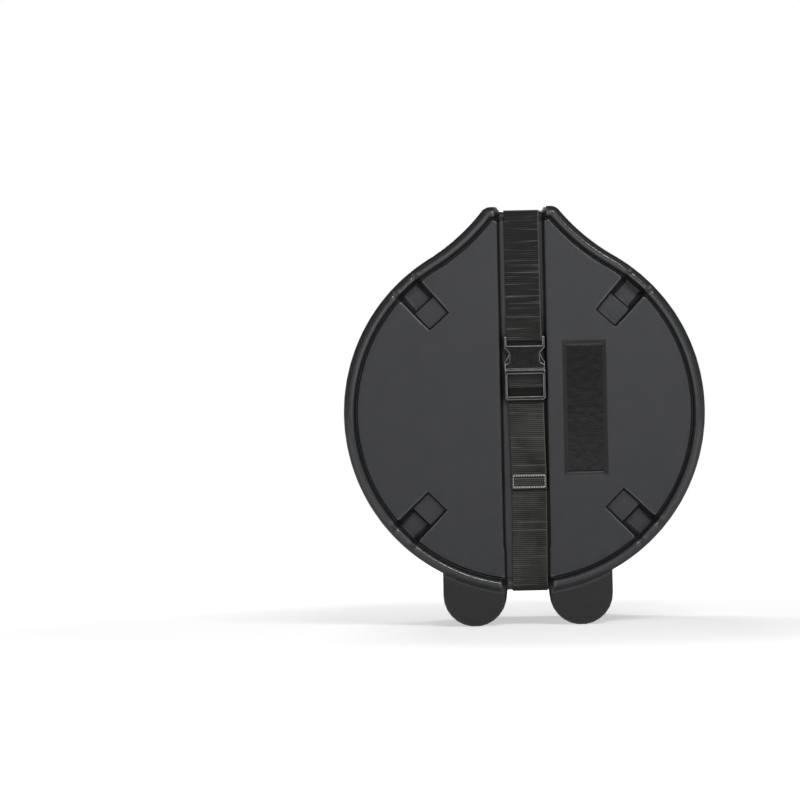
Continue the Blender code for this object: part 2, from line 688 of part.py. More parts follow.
def make_plug(plastic):
    """The plug: two rails, a cross bar with a guide tongue, and the ladder lock's two bars."""
    half = BUCKLE_WIDTH / 2
    inside = half - RAIL_WIDTH
    top = BUCKLE_MOUTH - RELEASE_GAP
    bar_low = top - CROSSBAR_HEIGHT
    right = [(half, top), (half, BUCKLE_BOTTOM + RAIL_WIDTH), (inside, BUCKLE_BOTTOM)]
    body = slab("buckle_plug", both_sides(right), BUCKLE_BACK, BUCKLE_FRONT, plastic, BUCKLE_EDGE)
    opening = block("plug_opening", (-inside, BUCKLE_FRONT - OVERRUN,
                                     BUCKLE_BOTTOM + LADDER_BAR),
                    (inside, BUCKLE_BACK + OVERRUN, bar_low))
    under = block("plug_web_way", (-inside, TAIL_FRONT, BUCKLE_BOTTOM - OVERRUN),
                  (inside, BUCKLE_BACK + OVERRUN, BUCKLE_BOTTOM + LADDER_BAR + TOUCH))
    cut(body, opening, under)
    middle = block("plug_middle_bar", (-half + BUCKLE_EDGE, BUCKLE_BACK - LADDER_BAR_THICKNESS,
                                       LADDER_MIDDLE),
                   (half - BUCKLE_EDGE, BUCKLE_BACK, LADDER_MIDDLE + LADDER_BAR),
                   edge=LADDER_EDGE)
    tongue = slab("plug_tongue", both_sides([(TONGUE_WIDTH / 2 - PRONG_CUT, TONGUE_REACH),
                                             (TONGUE_WIDTH / 2, TONGUE_REACH - PRONG_CUT),
                                             (TONGUE_WIDTH / 2, top - TOUCH)]),
                  PRONG_BACK, PRONG_FRONT)
    join(body, middle, tongue)
    return body


def make_prong(name, side, plastic):
    """A spring prong. Its origin is at the inner corner of its root, where it bends."""
    inner = PRONG_OFFSET - PRONG_WIDTH / 2
    outer = PRONG_OFFSET + PRONG_WIDTH / 2
    shoulder = BUCKLE_WIDTH / 2
    root = BUCKLE_MOUTH
    outline_points = [(inner, root), (outer, root), (outer, PRONG_SHOULDER_LOW),
                      (shoulder, PRONG_SHOULDER_LOW + PRONG_CUT / 2),
                      (shoulder, PRONG_SHOULDER_HIGH - PRONG_SHOULDER_SLOPE),
                      (outer + PRONG_CUT, PRONG_SHOULDER_HIGH),
                      (outer, PRONG_REACH), (inner, PRONG_REACH)]
    points = [(side * (x - inner), z - root) for x, z in outline_points]
    prong = slab(name, points, PRONG_BACK - PRONG_MIDDLE, PRONG_FRONT - PRONG_MIDDLE, plastic,
                 PRONG_EDGE)
    prong.location = (side * inner, PRONG_MIDDLE, root)
    return prong


def rod(name, start, length, radius, finish=None):
    """A round bar along +X from a point."""
    rings = []
    for x in (start[0], start[0] + length):
        rings.append([(x, start[1] + radius * math.sin(2 * math.pi * step / PIN_SIDES),
                       start[2] + radius * math.cos(2 * math.pi * step / PIN_SIDES))
                      for step in range(PIN_SIDES)])
    return loft(name, rings, finish)


def stud(name, x, y, low, high, radius, finish=None):
    """A round bar along +Z."""
    rings = [[(x + radius * math.cos(2 * math.pi * step / PIN_SIDES),
               y + radius * math.sin(2 * math.pi * step / PIN_SIDES), z)
              for step in range(PIN_SIDES)] for z in (low, high)]
    return loft(name, rings, finish)


def make_handle(rubber):
    """The grip with its two arms. Its origin is on the pins' axis."""
    half = HANDLE_LENGTH / 2
    arm_out = half - ARM_SETBACK
    grip = block("handle_grip",
                 (-half, HANDLE_REACH - HANDLE_DEPTH / 2, -HANDLE_THICKNESS / 2),
                 (half, HANDLE_REACH + HANDLE_DEPTH / 2, HANDLE_THICKNESS / 2),
                 rubber, HANDLE_EDGE, EDGE_STEPS)
    for side in (-1, 1):
        ends = sorted((side * (arm_out - ARM_WIDTH), side * arm_out))
        arm = block(f"handle_arm_{side}",
                    (ends[0], -ARM_THICKNESS / 2, -ARM_THICKNESS / 2),
                    (ends[1], HANDLE_REACH, ARM_THICKNESS / 2), edge=ARM_EDGE)
        hole = rod(f"handle_bore_{side}", (ends[0] - OVERRUN, 0, 0), ARM_WIDTH + 2 * OVERRUN,
                   PIN_RADIUS + PIN_PLAY)
        place = (0, HANDLE_PIVOT_Y, PIVOT_Z)
        arm.location = place
        hole.location = place
        join(grip, arm)
        cut(grip, hole)
    grip.location = (0, HANDLE_PIVOT_Y, PIVOT_Z)
    return grip


def lug_span():
    """Where a lug starts and ends, beside its arm, on the +X side."""
    outer = HANDLE_LENGTH / 2 - ARM_SETBACK - ARM_WIDTH - LUG_GAP
    return outer - LUG_WIDTH, outer


def rivet_places(side):
    """X and Y of the two rivets of one bracket, front one first."""
    x = side * sum(lug_span()) / 2
    return [(x, HANDLE_PIVOT_Y - RIVET_SPACING / 2), (x, HANDLE_PIVOT_Y + RIVET_SPACING / 2)]


def make_bracket(side, word, steel):
    """A riveted plate with a lug, the pin that carries one arm, and two rivets."""
    top = TOP_HEIGHT - BASE_INSET
    lug_in, lug_out = lug_span()
    low = top + TOUCH
    ends = sorted((side * lug_in, side * lug_out))
    plate_ends = sorted((side * lug_in, side * (lug_in + PLATE_WIDTH)))
    plate = block(f"handle_bracket_{word}",
                  (plate_ends[0], HANDLE_PIVOT_Y - PLATE_LENGTH / 2, low),
                  (plate_ends[1], HANDLE_PIVOT_Y + PLATE_LENGTH / 2, low + PLATE_THICKNESS),
                  steel)
    lug = slab_x(f"lug_{word}", ends, low + PLATE_THICKNESS / 2)
    bore = rod(f"lug_bore_{word}", (ends[0] - OVERRUN, HANDLE_PIVOT_Y, PIVOT_Z),
               LUG_WIDTH + 2 * OVERRUN, PIN_RADIUS + PIN_PLAY)
    join(plate, lug)
    cut(plate, bore)
    shaft_start = lug_in - PIN_HEAD_LENGTH
    shaft_end = HANDLE_LENGTH / 2 - ARM_SETBACK + LUG_GAP
    pin_ends = sorted((side * shaft_start, side * shaft_end))
    pin = rod(f"handle_pin_{word}", (pin_ends[0], HANDLE_PIVOT_Y, PIVOT_Z),
              shaft_end - shaft_start, PIN_RADIUS, steel)
    head_ends = sorted((side * (shaft_end - TOUCH), side * (shaft_end + PIN_HEAD_LENGTH)))
    head = rod(f"pin_head_{word}", (head_ends[0], HANDLE_PIVOT_Y, PIVOT_Z),
               head_ends[1] - head_ends[0], PIN_HEAD_RADIUS)
    join(pin, head)
    for end, (rivet_x, y) in zip(("front", "rear"), rivet_places(side)):
        cut(plate, stud(f"rivet_hole_{word}_{end}", rivet_x, y, low - OVERRUN, low + OVERRUN,
                        RIVET_RADIUS + PIN_PLAY))
        plate_top = low + PLATE_THICKNESS
        rivet = stud(f"handle_rivet_{word}_{end}", rivet_x, y, top - RIVET_LENGTH,
                     plate_top + RIVET_HEAD_HEIGHT / 2, RIVET_RADIUS, steel)
        join(rivet, stud(f"rivet_head_{word}_{end}", rivet_x, y, plate_top + TOUCH,
                         plate_top + TOUCH + RIVET_HEAD_HEIGHT, RIVET_HEAD_RADIUS))


def slab_x(name, ends, low):
    """A lug with a round top, between two x values."""
    half = LUG_LENGTH / 2
    top = [Vector((HANDLE_PIVOT_Y, PIVOT_Z)) + half * heading(turn)
           for turn in (math.pi * (step / PIN_SIDES - 1 / 2) for step in range(PIN_SIDES + 1))]
    profile = [Vector((HANDLE_PIVOT_Y - half, low))] + top
    profile += [Vector((HANDLE_PIVOT_Y + half, low))]
    return loft(name, [[(x, point.x, point.y) for point in profile] for x in ends])


def make_half_disc(name, side, low, high, foam):
    """A foam half disc beside the channel's rib."""
    start = math.asin(FLOOR_PAD_OFFSET / FLOOR_PAD_RADIUS)
    centre = Vector((0, BODY_CENTRE_HEIGHT))
    points = arc(centre, FLOOR_PAD_RADIUS, start, math.pi - start, PAD_STEPS)
    pad = slab(name, [(side * point.x, point.y) for point in points], low, high, foam, PAD_EDGE)
    return pad


def make_pads(foam):
    """Foam pads on the inside of both shells, each about a hair from what it is glued to."""
    base_floor = BASE_FACE - WALL - TOUCH
    lid_floor = PANEL_FACE + WALL + TOUCH
    for side, word in ((-1, "left"), (1, "right")):
        make_half_disc(f"base_floor_pad_{word}", side, base_floor - FLOOR_PAD_THICKNESS,
                       base_floor, foam)
        make_half_disc(f"lid_pad_{word}", side, lid_floor, lid_floor + FLOOR_PAD_THICKNESS, foam)
    rib = PANEL_FACE + LID_RECESS_SHALLOW + WALL + TOUCH
    near = LID_RECESS_START - WALL + HOOP_PAD_MARGIN
    far = LID_RECESS_STEP - WALL - HOOP_PAD_MARGIN
    for number, degrees in enumerate(LID_RECESS_ANGLES, 1):
        profile = [(near, rib), (far, rib), (far, rib + HOOP_PAD_THICKNESS),
                   (near, rib + HOOP_PAD_THICKNESS)]
        pad = radial_prism(f"lid_hoop_pad_{number}", degrees, profile, LID_RECESS_WIDTH)
        pad.data.materials.append(foam)
        round_edges(pad, PAD_EDGE)
    outer = BODY_RADIUS - BASE_INSET - BASE_GROOVE_DENT - WALL - TOUCH
    start = BASE_FACE - BASE_GROOVE_LENGTH + CRADLE_PAD_SETBACK
    for number, degrees in enumerate(BASE_RECESS_ANGLES, 1):
        profile = [(outer - CRADLE_PAD_THICKNESS, start), (outer, start),
                   (outer, start + CRADLE_PAD_LENGTH),
                   (outer - CRADLE_PAD_THICKNESS, start + CRADLE_PAD_LENGTH)]
        pad = radial_prism(f"base_cradle_pad_{number}", degrees, profile, CRADLE_PAD_WIDTH)
        pad.data.materials.append(foam)
        round_edges(pad, PAD_EDGE)


def main():
    clear_scene()
    shell_finish = material("moulded_polyethylene", (0.05, 0.052, 0.055), 0.5)
    web = material("woven_polypropylene", (0.028, 0.028, 0.026), 0.85)
    acetal = material("moulded_acetal", (0.012, 0.012, 0.012), 0.3)
    rubber = material("moulded_rubber", (0.02, 0.02, 0.02), 0.4)
    steel = material("blackened_steel", (0.08, 0.08, 0.085), 0.4, 1.0)
    foam = material("closed_cell_foam", (0.06, 0.06, 0.065), 0.95)
    make_lid(shell_finish)
    make_base(shell_finish)
    make_strap(web)
    make_socket(acetal)
    make_plug(acetal)
    make_prong("buckle_prong_left", -1, acetal)
    make_prong("buckle_prong_right", 1, acetal)
    make_handle(rubber)
    for side, word in ((-1, "left"), (1, "right")):
        make_bracket(side, word, steel)
    make_pads(foam)


main()
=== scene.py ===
# %% [markdown]
# # Dressing a moulded tom drum case
#
# The case is a round black tub with a lid that slips over it, a strap that ties the two
# together and a handle on top. A working model of it comes first: every piece has its real
# size and moves on its joints, but its faces are flat and its edges are sharp. This lesson
# gives each piece the form and the finish that its own making gives the real one. The working
# model stays underneath, so every new piece is placed by the piece it stands for.

# %% Load the working model
import math

import bmesh
import bpy
import numpy as np
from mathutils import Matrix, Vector


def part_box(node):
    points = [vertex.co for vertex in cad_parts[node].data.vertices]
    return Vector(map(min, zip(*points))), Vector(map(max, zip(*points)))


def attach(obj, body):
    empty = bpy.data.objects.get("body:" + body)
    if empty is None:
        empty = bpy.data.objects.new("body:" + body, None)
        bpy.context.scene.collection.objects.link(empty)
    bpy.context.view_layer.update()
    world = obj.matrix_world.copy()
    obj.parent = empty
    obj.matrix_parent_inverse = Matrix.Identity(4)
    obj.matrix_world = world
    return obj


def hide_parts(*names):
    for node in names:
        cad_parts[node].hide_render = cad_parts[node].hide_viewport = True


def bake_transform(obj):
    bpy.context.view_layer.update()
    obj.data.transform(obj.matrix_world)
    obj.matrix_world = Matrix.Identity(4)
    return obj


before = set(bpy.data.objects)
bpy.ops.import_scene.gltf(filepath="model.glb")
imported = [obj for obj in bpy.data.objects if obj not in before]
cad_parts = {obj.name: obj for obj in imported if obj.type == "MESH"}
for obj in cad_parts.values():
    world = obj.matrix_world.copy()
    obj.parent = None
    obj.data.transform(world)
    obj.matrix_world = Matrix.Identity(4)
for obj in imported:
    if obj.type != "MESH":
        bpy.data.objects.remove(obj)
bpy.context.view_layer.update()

MM = 0.001

# %% [markdown]
# ## The camera
#
# The photograph was taken from far away with a long lens, because both the near lid and the
# far handle show at almost one scale. In the plane of the lid one pixel is 1.43 mm, by the
# height and width of the whole case, and the 50 mm strap agrees within a hundredth. The
# camera stands square to the lid, and the lens is shifted, not turned, to put the case where
# the photograph has it. The case leans a little to the left there, so the camera rolls.

# %% Put the camera where the photographer stood
IMAGE_SIZE = 800
PIXEL_SIZE = 1.427 * MM
SENSOR_WIDTH = 36.0
CAMERA_DISTANCE = 4.8
CAMERA_HEIGHT = 0.20
CASE_LEAN = math.radians(1.2)
BODY_CENTRE_HEIGHT = 0.305
BODY_CENTRE_PIXEL = (524.4, 412.0)
LID_FACE_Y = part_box("lid_shell")[0].y

body_centre = Vector((0, LID_FACE_Y, BODY_CENTRE_HEIGHT))
camera_data = bpy.data.cameras.new("long_lens")
camera_data.sensor_width = SENSOR_WIDTH
camera_data.lens = SENSOR_WIDTH * CAMERA_DISTANCE / (IMAGE_SIZE * PIXEL_SIZE)
camera = bpy.data.objects.new("camera", camera_data)
bpy.context.scene.collection.objects.link(camera)
camera.location = (0, LID_FACE_Y - CAMERA_DISTANCE, CAMERA_HEIGHT)
camera.rotation_euler = (math.pi / 2, CASE_LEAN, 0)
bpy.context.view_layer.update()
seen = camera.matrix_world.inverted() @ body_centre
image_width = IMAGE_SIZE * PIXEL_SIZE
camera_data.shift_x = seen.x / image_width + 0.5 - BODY_CENTRE_PIXEL[0] / IMAGE_SIZE
camera_data.shift_y = seen.y / image_width - 0.5 + BODY_CENTRE_PIXEL[1] / IMAGE_SIZE
bpy.context.scene.camera = camera
print("lens", round(camera_data.lens, 1), "mm, shift", round(camera_data.shift_x, 3),
      round(camera_data.shift_y, 3))

# %% [markdown]
# ## Helpers for materials
#
# Colours are written as sRGB hex values, the way a picture editor shows them, but a shader
# works with linear light, so one function converts them. A second function adds any shader
# node with its settings and links. A Mix node has sockets for numbers and for colours under
# the same names, so these are called by their places, which get names here. Together they
# keep every material short enough to read. The size of a pattern is written in plain
# millimetres and turned into a texture's scale by the last function. All other lengths are in
# metres, so they are multiplied by MM.

# %% Turn hex colours to linear, and add nodes
FACTOR = 0
NUMBER_A, NUMBER_B, NUMBER_OUT = 2, 3, 0
COLOUR_A, COLOUR_B, COLOUR_OUT = 6, 7, 2


def linear(hex_colour):
    """A shader colour from an sRGB hex value, by the standard sRGB curve."""
    shares = [int(hex_colour[start:start + 2], 16) / 255 for start in (1, 3, 5)]
    return [c / 12.92 if c <= 0.04045 else ((c + 0.055) / 1.055) ** 2.4 for c in shares] + [1]


def add_node(tree, kind, settings=(), links=()):
    """Adds a node. A setting is a property or a socket, and a link feeds a socket."""
    node = tree.nodes.new("ShaderNode" + kind)
    for key, value in dict(settings).items():
        if isinstance(key, str) and hasattr(node, key):
            setattr(node, key, value)
        else:
            node.inputs[key].default_value = value
    for key, source in dict(links).items():
        tree.links.new(source, node.inputs[key])
    return node


def new_material(name, settings):
    """A material with its Principled shader set up. Returns the material, tree and shader."""
    material = bpy.data.materials.new(name)
    material.use_nodes = True
    shader = material.node_tree.nodes["Principled BSDF"]
    for socket, value in settings.items():
        shader.inputs[socket].default_value = value
    return material, material.node_tree, shader


def per(size_mm):
    """The scale of a texture whose features are this many millimetres apart."""
    return 1 / (size_mm * MM)


print("the hex grey #808080 is", round(linear("#808080")[0], 3), "in linear light")

# %% [markdown]
# ## Rotomoulded polyethylene
#
# Both halves of the case are rotomoulded: powder is tumbled in a hot mould until it coats the
# wall. The plastic cools unevenly, so its black is slightly mottled. Handling polishes the
# raised edges, and a pale painted highlight is also laid along them. A painted picture could
# hold all this, but it would need unwrapping and would blur close up. Patterns that are worked
# out from each point's own place have no seams and stay sharp, so the colour is built that
# way: the body's colour first, and then a mask for each place that differs from it, painted
# shade among them.

# %% Colour the body of the polyethylene
MOTTLE = 34.0
POLISHED_HIGHLIT_FROM, POLISHED_HIGHLIT_TO = 0.515, 0.55

polyethylene, tree, shader = new_material("rotomoulded_polyethylene", {
    "IOR": 1.51, "Specular IOR Level": 0.5})
place = add_node(tree, "TexCoord").outputs["Object"]
spot = add_node(tree, "SeparateXYZ", links={"Vector": place}).outputs
mottle = add_node(tree, "TexNoise", {"Scale": per(MOTTLE), "Detail": 5.0}, {"Vector": place})
body_colour = add_node(tree, "Mix", {
    "data_type": "RGBA", COLOUR_A: linear("#353639"), COLOUR_B: linear("#3e3f42")},
    {FACTOR: mottle.outputs["Fac"]})
# Pointy edges are polished smoother, and a pale painted highlight is laid on them.
edge = add_node(tree, "NewGeometry").outputs["Pointiness"]
polished_and_highlit_edge = add_node(tree, "MapRange", {"From Min": POLISHED_HIGHLIT_FROM, "From Max": POLISHED_HIGHLIT_TO},
                    {"Value": edge})
painted_edge_highlight = add_node(tree, "Mix", {"data_type": "RGBA", COLOUR_B: linear("#7b7c80")}, {
    FACTOR: polished_and_highlit_edge.outputs["Result"], COLOUR_A: body_colour.outputs[COLOUR_OUT]})
colour = painted_edge_highlight.outputs[COLOUR_OUT]
print("started", polyethylene.name, "with mottling every", MOTTLE, "mm")

# %% [markdown]
# ### Dark oblongs on the lid's face
#
# The label's panel is moulded against a polished plate and is blacker than the pebbled faces.
# The narrow frame round it, where its walls lie, is painted shade, and the lid's face behind
# the buckle gets a painted shadow of the buckle. All of these are oblongs on the lid's face,
# so one helper makes the mask of an oblong from how far a point lies from its middle, across
# and up.

# %% Darken the label's panel and the place behind the buckle
MASK_EDGE = 1.2 * MM
FRONT_FROM, FRONT_TO = LID_FACE_Y + 16 * MM, LID_FACE_Y + 14 * MM
LABEL_MIDDLE = (87 * MM, 309.5 * MM)
LABEL_HALF = (29 * MM, 94.5 * MM)
LABEL_FRAME = 3.2 * MM
LABEL_WALL = 2.2 * MM

on_lid = add_node(tree, "MapRange", {"From Min": FRONT_FROM, "From Max": FRONT_TO},
                  {"Value": spot["Y"]}).outputs["Result"]


def in_oblong(tree, spot, on_lid, middle, half):
    """A mask that is 1 inside an oblong on the lid's face, from its middle and half its size."""
    mask = on_lid
    for axis, centre, reach in zip("XZ", middle, half):
        offset = add_node(tree, "Math", {"operation": "SUBTRACT", 1: centre}, {0: spot[axis]})
        away = add_node(tree, "Math", {"operation": "ABSOLUTE"}, {0: offset.outputs[0]})
        within = add_node(tree, "MapRange", {"From Min": reach, "From Max": reach - MASK_EDGE},
                          {"Value": away.outputs[0]})
        mask = add_node(tree, "Math", {"operation": "MULTIPLY"}, {
            0: mask, 1: within.outputs["Result"]}).outputs[0]
    return mask


# The frame round the label's panel is painted shade on the recess's walls.
label_wall_shade = in_oblong(tree, spot, on_lid, LABEL_MIDDLE,
                        [half + LABEL_FRAME for half in LABEL_HALF])
label_floor = in_oblong(tree, spot, on_lid, LABEL_MIDDLE,
                        [half - LABEL_WALL for half in LABEL_HALF])
plug_low, socket_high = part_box("buckle_plug")[0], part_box("buckle_socket")[1]
buckle_middle = (plug_low.z + socket_high.z) / 2
# A painted shadow of the buckle lies on the lid's face behind it.
painted_buckle_shadow = in_oblong(tree, spot, on_lid, (0.0, buckle_middle),
                          (socket_high.x, socket_high.z - buckle_middle))
for mask, tone in ((label_wall_shade, "#0a0b0c"), (label_floor, "#111214"),
                   (painted_buckle_shadow, "#08090a")):
    colour = add_node(tree, "Mix", {"data_type": "RGBA", COLOUR_B: linear(tone)},
                      {FACTOR: mask, COLOUR_A: colour}).outputs[COLOUR_OUT]
print("the buckle's middle is at", round(buckle_middle, 4), "m")

# %% [markdown]
# ### The darker feet and the painted shade on the walls
#
# The feet are darker than the body. The steep walls of the grooves and recesses are painted
# nearly black as shade. The mask of the feet asks how far a point lies from the body's middle
# and how high it is. The mask of the walls asks how far a face turns aside near the front and
# the back, and leaves out the roll, which isn't a wall.

# %% Darken the feet and the steep walls
FOOT_FROM, FOOT_TO = 261 * MM, 263 * MM
FOOT_TOP_FROM, FOOT_TOP_TO = 120 * MM, 100 * MM
STEEP_FROM, STEEP_TO = 0.89, 0.79
LID_WALLS_FROM, LID_WALLS_TO = LID_FACE_Y + 20 * MM, LID_FACE_Y + 9 * MM
BASE_FACE_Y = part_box("base_shell")[1].y
BASE_WALLS_FROM, BASE_WALLS_TO = BASE_FACE_Y - 24 * MM, BASE_FACE_Y - 12 * MM
ROLL_FROM, ROLL_TO = LID_FACE_Y + 0.5 * MM, LID_FACE_Y + 3 * MM

above_middle = add_node(tree, "Math", {"operation": "SUBTRACT", 1: BODY_CENTRE_HEIGHT},
                        {0: spot["Z"]})
outward = add_node(tree, "CombineXYZ", links={"X": spot["X"], "Z": above_middle.outputs[0]})
from_middle = add_node(tree, "VectorMath", {"operation": "LENGTH"}, {0: outward.outputs[0]})
beyond = add_node(tree, "MapRange", {"From Min": FOOT_FROM, "From Max": FOOT_TO},
                  {"Value": from_middle.outputs["Value"]})
low_down = add_node(tree, "MapRange", {"From Min": FOOT_TOP_FROM, "From Max": FOOT_TOP_TO},
                    {"Value": spot["Z"]})
foot = add_node(tree, "Math", {"operation": "MULTIPLY"}, {
    0: beyond.outputs["Result"], 1: low_down.outputs["Result"]})
facing = add_node(tree, "SeparateXYZ", links={
    "Vector": add_node(tree, "NewGeometry").outputs["Normal"]})
square_on = add_node(tree, "Math", {"operation": "ABSOLUTE"}, {0: facing.outputs["Y"]})
steep = add_node(tree, "MapRange", {"From Min": STEEP_FROM, "From Max": STEEP_TO},
                 {"Value": square_on.outputs[0]})
near_lid_face = add_node(tree, "MapRange", {"From Min": LID_WALLS_FROM,
                                            "From Max": LID_WALLS_TO}, {"Value": spot["Y"]})
near_base_face = add_node(tree, "MapRange", {"From Min": BASE_WALLS_FROM,
                                             "From Max": BASE_WALLS_TO}, {"Value": spot["Y"]})
near_face = add_node(tree, "Math", {"operation": "MAXIMUM"}, {
    0: near_lid_face.outputs["Result"], 1: near_base_face.outputs["Result"]})
behind_roll = add_node(tree, "MapRange", {"From Min": ROLL_FROM, "From Max": ROLL_TO},
                       {"Value": spot["Y"]})
steep_inside = add_node(tree, "Math", {"operation": "MULTIPLY"}, {
    0: steep.outputs["Result"], 1: near_face.outputs[0]})
painted_wall_shade = add_node(tree, "Math", {"operation": "MULTIPLY"}, {
    0: steep_inside.outputs[0], 1: behind_roll.outputs["Result"]})
# The feet are darker, and the steep walls near the faces are painted shade.
for mask, tone in ((foot.outputs[0], "#1c1d1f"), (painted_wall_shade.outputs[0], "#131415")):
    colour = add_node(tree, "Mix", {"data_type": "RGBA", COLOUR_B: linear(tone)},
                      {FACTOR: mask, COLOUR_A: colour}).outputs[COLOUR_OUT]
# Faces that turn aside this far or more get the painted wall shade.
print("faces that turn aside by", round(math.degrees(math.acos(STEEP_TO))),
      "degrees or more are smooth")

# %% [markdown]
# ### Painted shade in the grooves
#
# The grooves and the thin line close beside the strap and the buckle are painted nearly black
# as shade. Ambient occlusion tells how much of the open air a point sees: with a reach of 14 mm
# it finds the grooves, and with 4.5 mm the thin line beside each piece that lies on the shell.

# %% Paint shade into the grooves
AO_SAMPLES = 6
GROOVE_REACH = 14 * MM
GROOVE_FROM, GROOVE_TO = 0.45, 0.93
CONTACT_REACH = 4.5 * MM
CONTACT_FROM, CONTACT_TO = 0.5, 0.9

groove_occlusion = add_node(tree, "AmbientOcclusion", {"samples": AO_SAMPLES,
                                                   "Distance": GROOVE_REACH})
out_of_groove = add_node(tree, "MapRange", {"From Min": GROOVE_FROM, "From Max": GROOVE_TO},
                 {"Value": groove_occlusion.outputs["AO"]})
contact_occlusion = add_node(tree, "AmbientOcclusion", {"samples": AO_SAMPLES,
                                                   "Distance": CONTACT_REACH})
out_of_contact = add_node(tree, "MapRange", {"From Min": CONTACT_FROM, "From Max": CONTACT_TO},
                    {"Value": contact_occlusion.outputs["AO"]})
unshaded_share = add_node(tree, "Math", {"operation": "MULTIPLY"}, {
    0: out_of_groove.outputs["Result"], 1: out_of_contact.outputs["Result"]})
# Where a point sees little open air, its colour is painted nearly black as shade.
painted_occlusion_shade = add_node(tree, "Mix", {"data_type": "RGBA", COLOUR_A: linear("#0c0d0e")},
                  {FACTOR: unshaded_share.outputs[0], COLOUR_B: colour})
tree.links.new(painted_occlusion_shade.outputs[COLOUR_OUT], shader.inputs["Base Color"])
print("the colour of", polyethylene.name, "takes", len(tree.nodes), "nodes")

# %% [markdown]
# ### The pebbled skin
#
# The sandblasted mould gives the outside a fine pebble, and uneven cooling makes it wave a
# little. The roll round the lid's edge takes every knock and is rubbed smooth, so light runs
# along it. The polished edges and the label's panel shine too, and long upright scuffs make
# the rest more or less dull. The pebble is drawn at about twice its real 0.8 mm, because the
# camera couldn't show it finer. Bump is enough for relief this low: as geometry it would take
# millions of faces.

# %% Roughen the skin
SCUFF, SCUFF_STRETCH = 60.0, 0.25
SCUFF_FROM, SCUFF_TO = 0.35, 0.7
SATIN_ROUGHNESS, MATT_ROUGHNESS, RUBBED_ROUGHNESS = 0.44, 0.58, 0.22
ROLL_TOP_FROM, ROLL_TOP_TO = LID_FACE_Y + 1.5 * MM, LID_FACE_Y - 0.2 * MM
WAVES, WAVE_STRENGTH, WAVE_DEPTH = 11.0, 0.35, 0.5 * MM
PEBBLE, PEBBLE_DEPTH = 1.7, 0.3 * MM
PEBBLE_STRENGTH, WORN_PEBBLE = 0.55, 0.25

stretched = add_node(tree, "Mapping", {"Scale": (1.0, 1.0, SCUFF_STRETCH)},
                     {"Vector": place})
scuffs = add_node(tree, "TexNoise", {"Scale": per(SCUFF), "Detail": 7.0, "Roughness": 0.7},
                  {"Vector": stretched.outputs["Vector"]})
dull = add_node(tree, "MapRange", {"From Min": SCUFF_FROM, "From Max": SCUFF_TO,
                                   "To Min": SATIN_ROUGHNESS, "To Max": MATT_ROUGHNESS},
                {"Value": scuffs.outputs["Fac"]})
rubbed_roll = add_node(tree, "MapRange", {"From Min": ROLL_TOP_FROM,
                                          "From Max": ROLL_TOP_TO}, {"Value": spot["Y"]})
rubbed_and_highlit = polished_and_highlit_edge.outputs["Result"]
for mask in (rubbed_roll.outputs["Result"], label_floor):
    rubbed_and_highlit = add_node(tree, "Math", {"operation": "MAXIMUM"}, {0: rubbed_and_highlit, 1: mask}).outputs[0]
roughness = add_node(tree, "Mix", {"data_type": "FLOAT", NUMBER_B: RUBBED_ROUGHNESS},
                     {FACTOR: rubbed_and_highlit, NUMBER_A: dull.outputs["Result"]})
tree.links.new(roughness.outputs[NUMBER_OUT], shader.inputs["Roughness"])
waves = add_node(tree, "TexNoise", {"Scale": per(WAVES), "Detail": 1.0}, {"Vector": place})
wave_bump = add_node(tree, "Bump", {"Strength": WAVE_STRENGTH, "Distance": WAVE_DEPTH},
                     {"Height": waves.outputs["Fac"]})
pebble = add_node(tree, "TexNoise", {"Scale": per(PEBBLE), "Detail": 2.0}, {"Vector": place})
pebble_left = add_node(tree, "MapRange", {"To Min": PEBBLE_STRENGTH, "To Max": WORN_PEBBLE},
                       {"Value": rubbed_and_highlit})
pebble_bump = add_node(tree, "Bump", {"Distance": PEBBLE_DEPTH}, {
    "Strength": pebble_left.outputs["Result"], "Height": pebble.outputs["Fac"],
    "Normal": wave_bump.outputs["Normal"]})
tree.links.new(pebble_bump.outputs["Normal"], shader.inputs["Normal"])
print("made", polyethylene.name)

# %% [markdown]
# ## Woven polypropylene webbing
#
# The strap is heavy webbing: fine warp ends run along it and thick weft picks run across, so
# it feels ribbed. The ribs are modelled later, and the material adds the single yarns between
# them and a soft sheen from the fibres. A pattern laid on from outside would shear at the
# bends, so each point of the strap carries its own place in millimetres, across and along,
# and the yarns follow the webbing round every bend. The ends are drawn 1.3 mm apart, about
# twice as coarse as real, so that they show.

# %% Lay out the yarns
WARP_END = 1.3
RIB_PITCH = 2.8
RIB_TOP = 0.4
YARN_STRENGTH, YARN_DEPTH = 0.8, 0.25 * MM

webbing, tree, shader = new_material("woven_polypropylene", {
    "IOR": 1.49, "Roughness": 0.72, "Specular IOR Level": 0.3, "Sheen Weight": 0.08,
    "Sheen Roughness": 0.4})
woven = add_node(tree, "Attribute", {"attribute_name": "woven_mm"}).outputs["Vector"]
parts = add_node(tree, "SeparateXYZ", links={"Vector": woven})
across = add_node(tree, "Math", {"operation": "MULTIPLY", 1: 2 * math.pi / WARP_END},
                  {0: parts.outputs["X"]})
warp = add_node(tree, "Math", {"operation": "SINE"}, {0: across.outputs[0]})
along = add_node(tree, "Math", {"operation": "MULTIPLY", 1: 2 * math.pi / RIB_PITCH},
                 {0: parts.outputs["Y"]})
weft = add_node(tree, "Math", {"operation": "COSINE"}, {0: along.outputs[0]})
yarns = add_node(tree, "Math", {"operation": "MULTIPLY"}, {0: warp.outputs[0],
                                                           1: weft.outputs[0]})
yarn_share = add_node(tree, "MapRange", {"From Min": -1.0, "From Max": 1.0},
                      {"Value": yarns.outputs[0]})
out_of_hollow = add_node(tree, "MapRange", {"From Min": -1.0, "From Max": RIB_TOP},
                     {"Value": weft.outputs[0]})
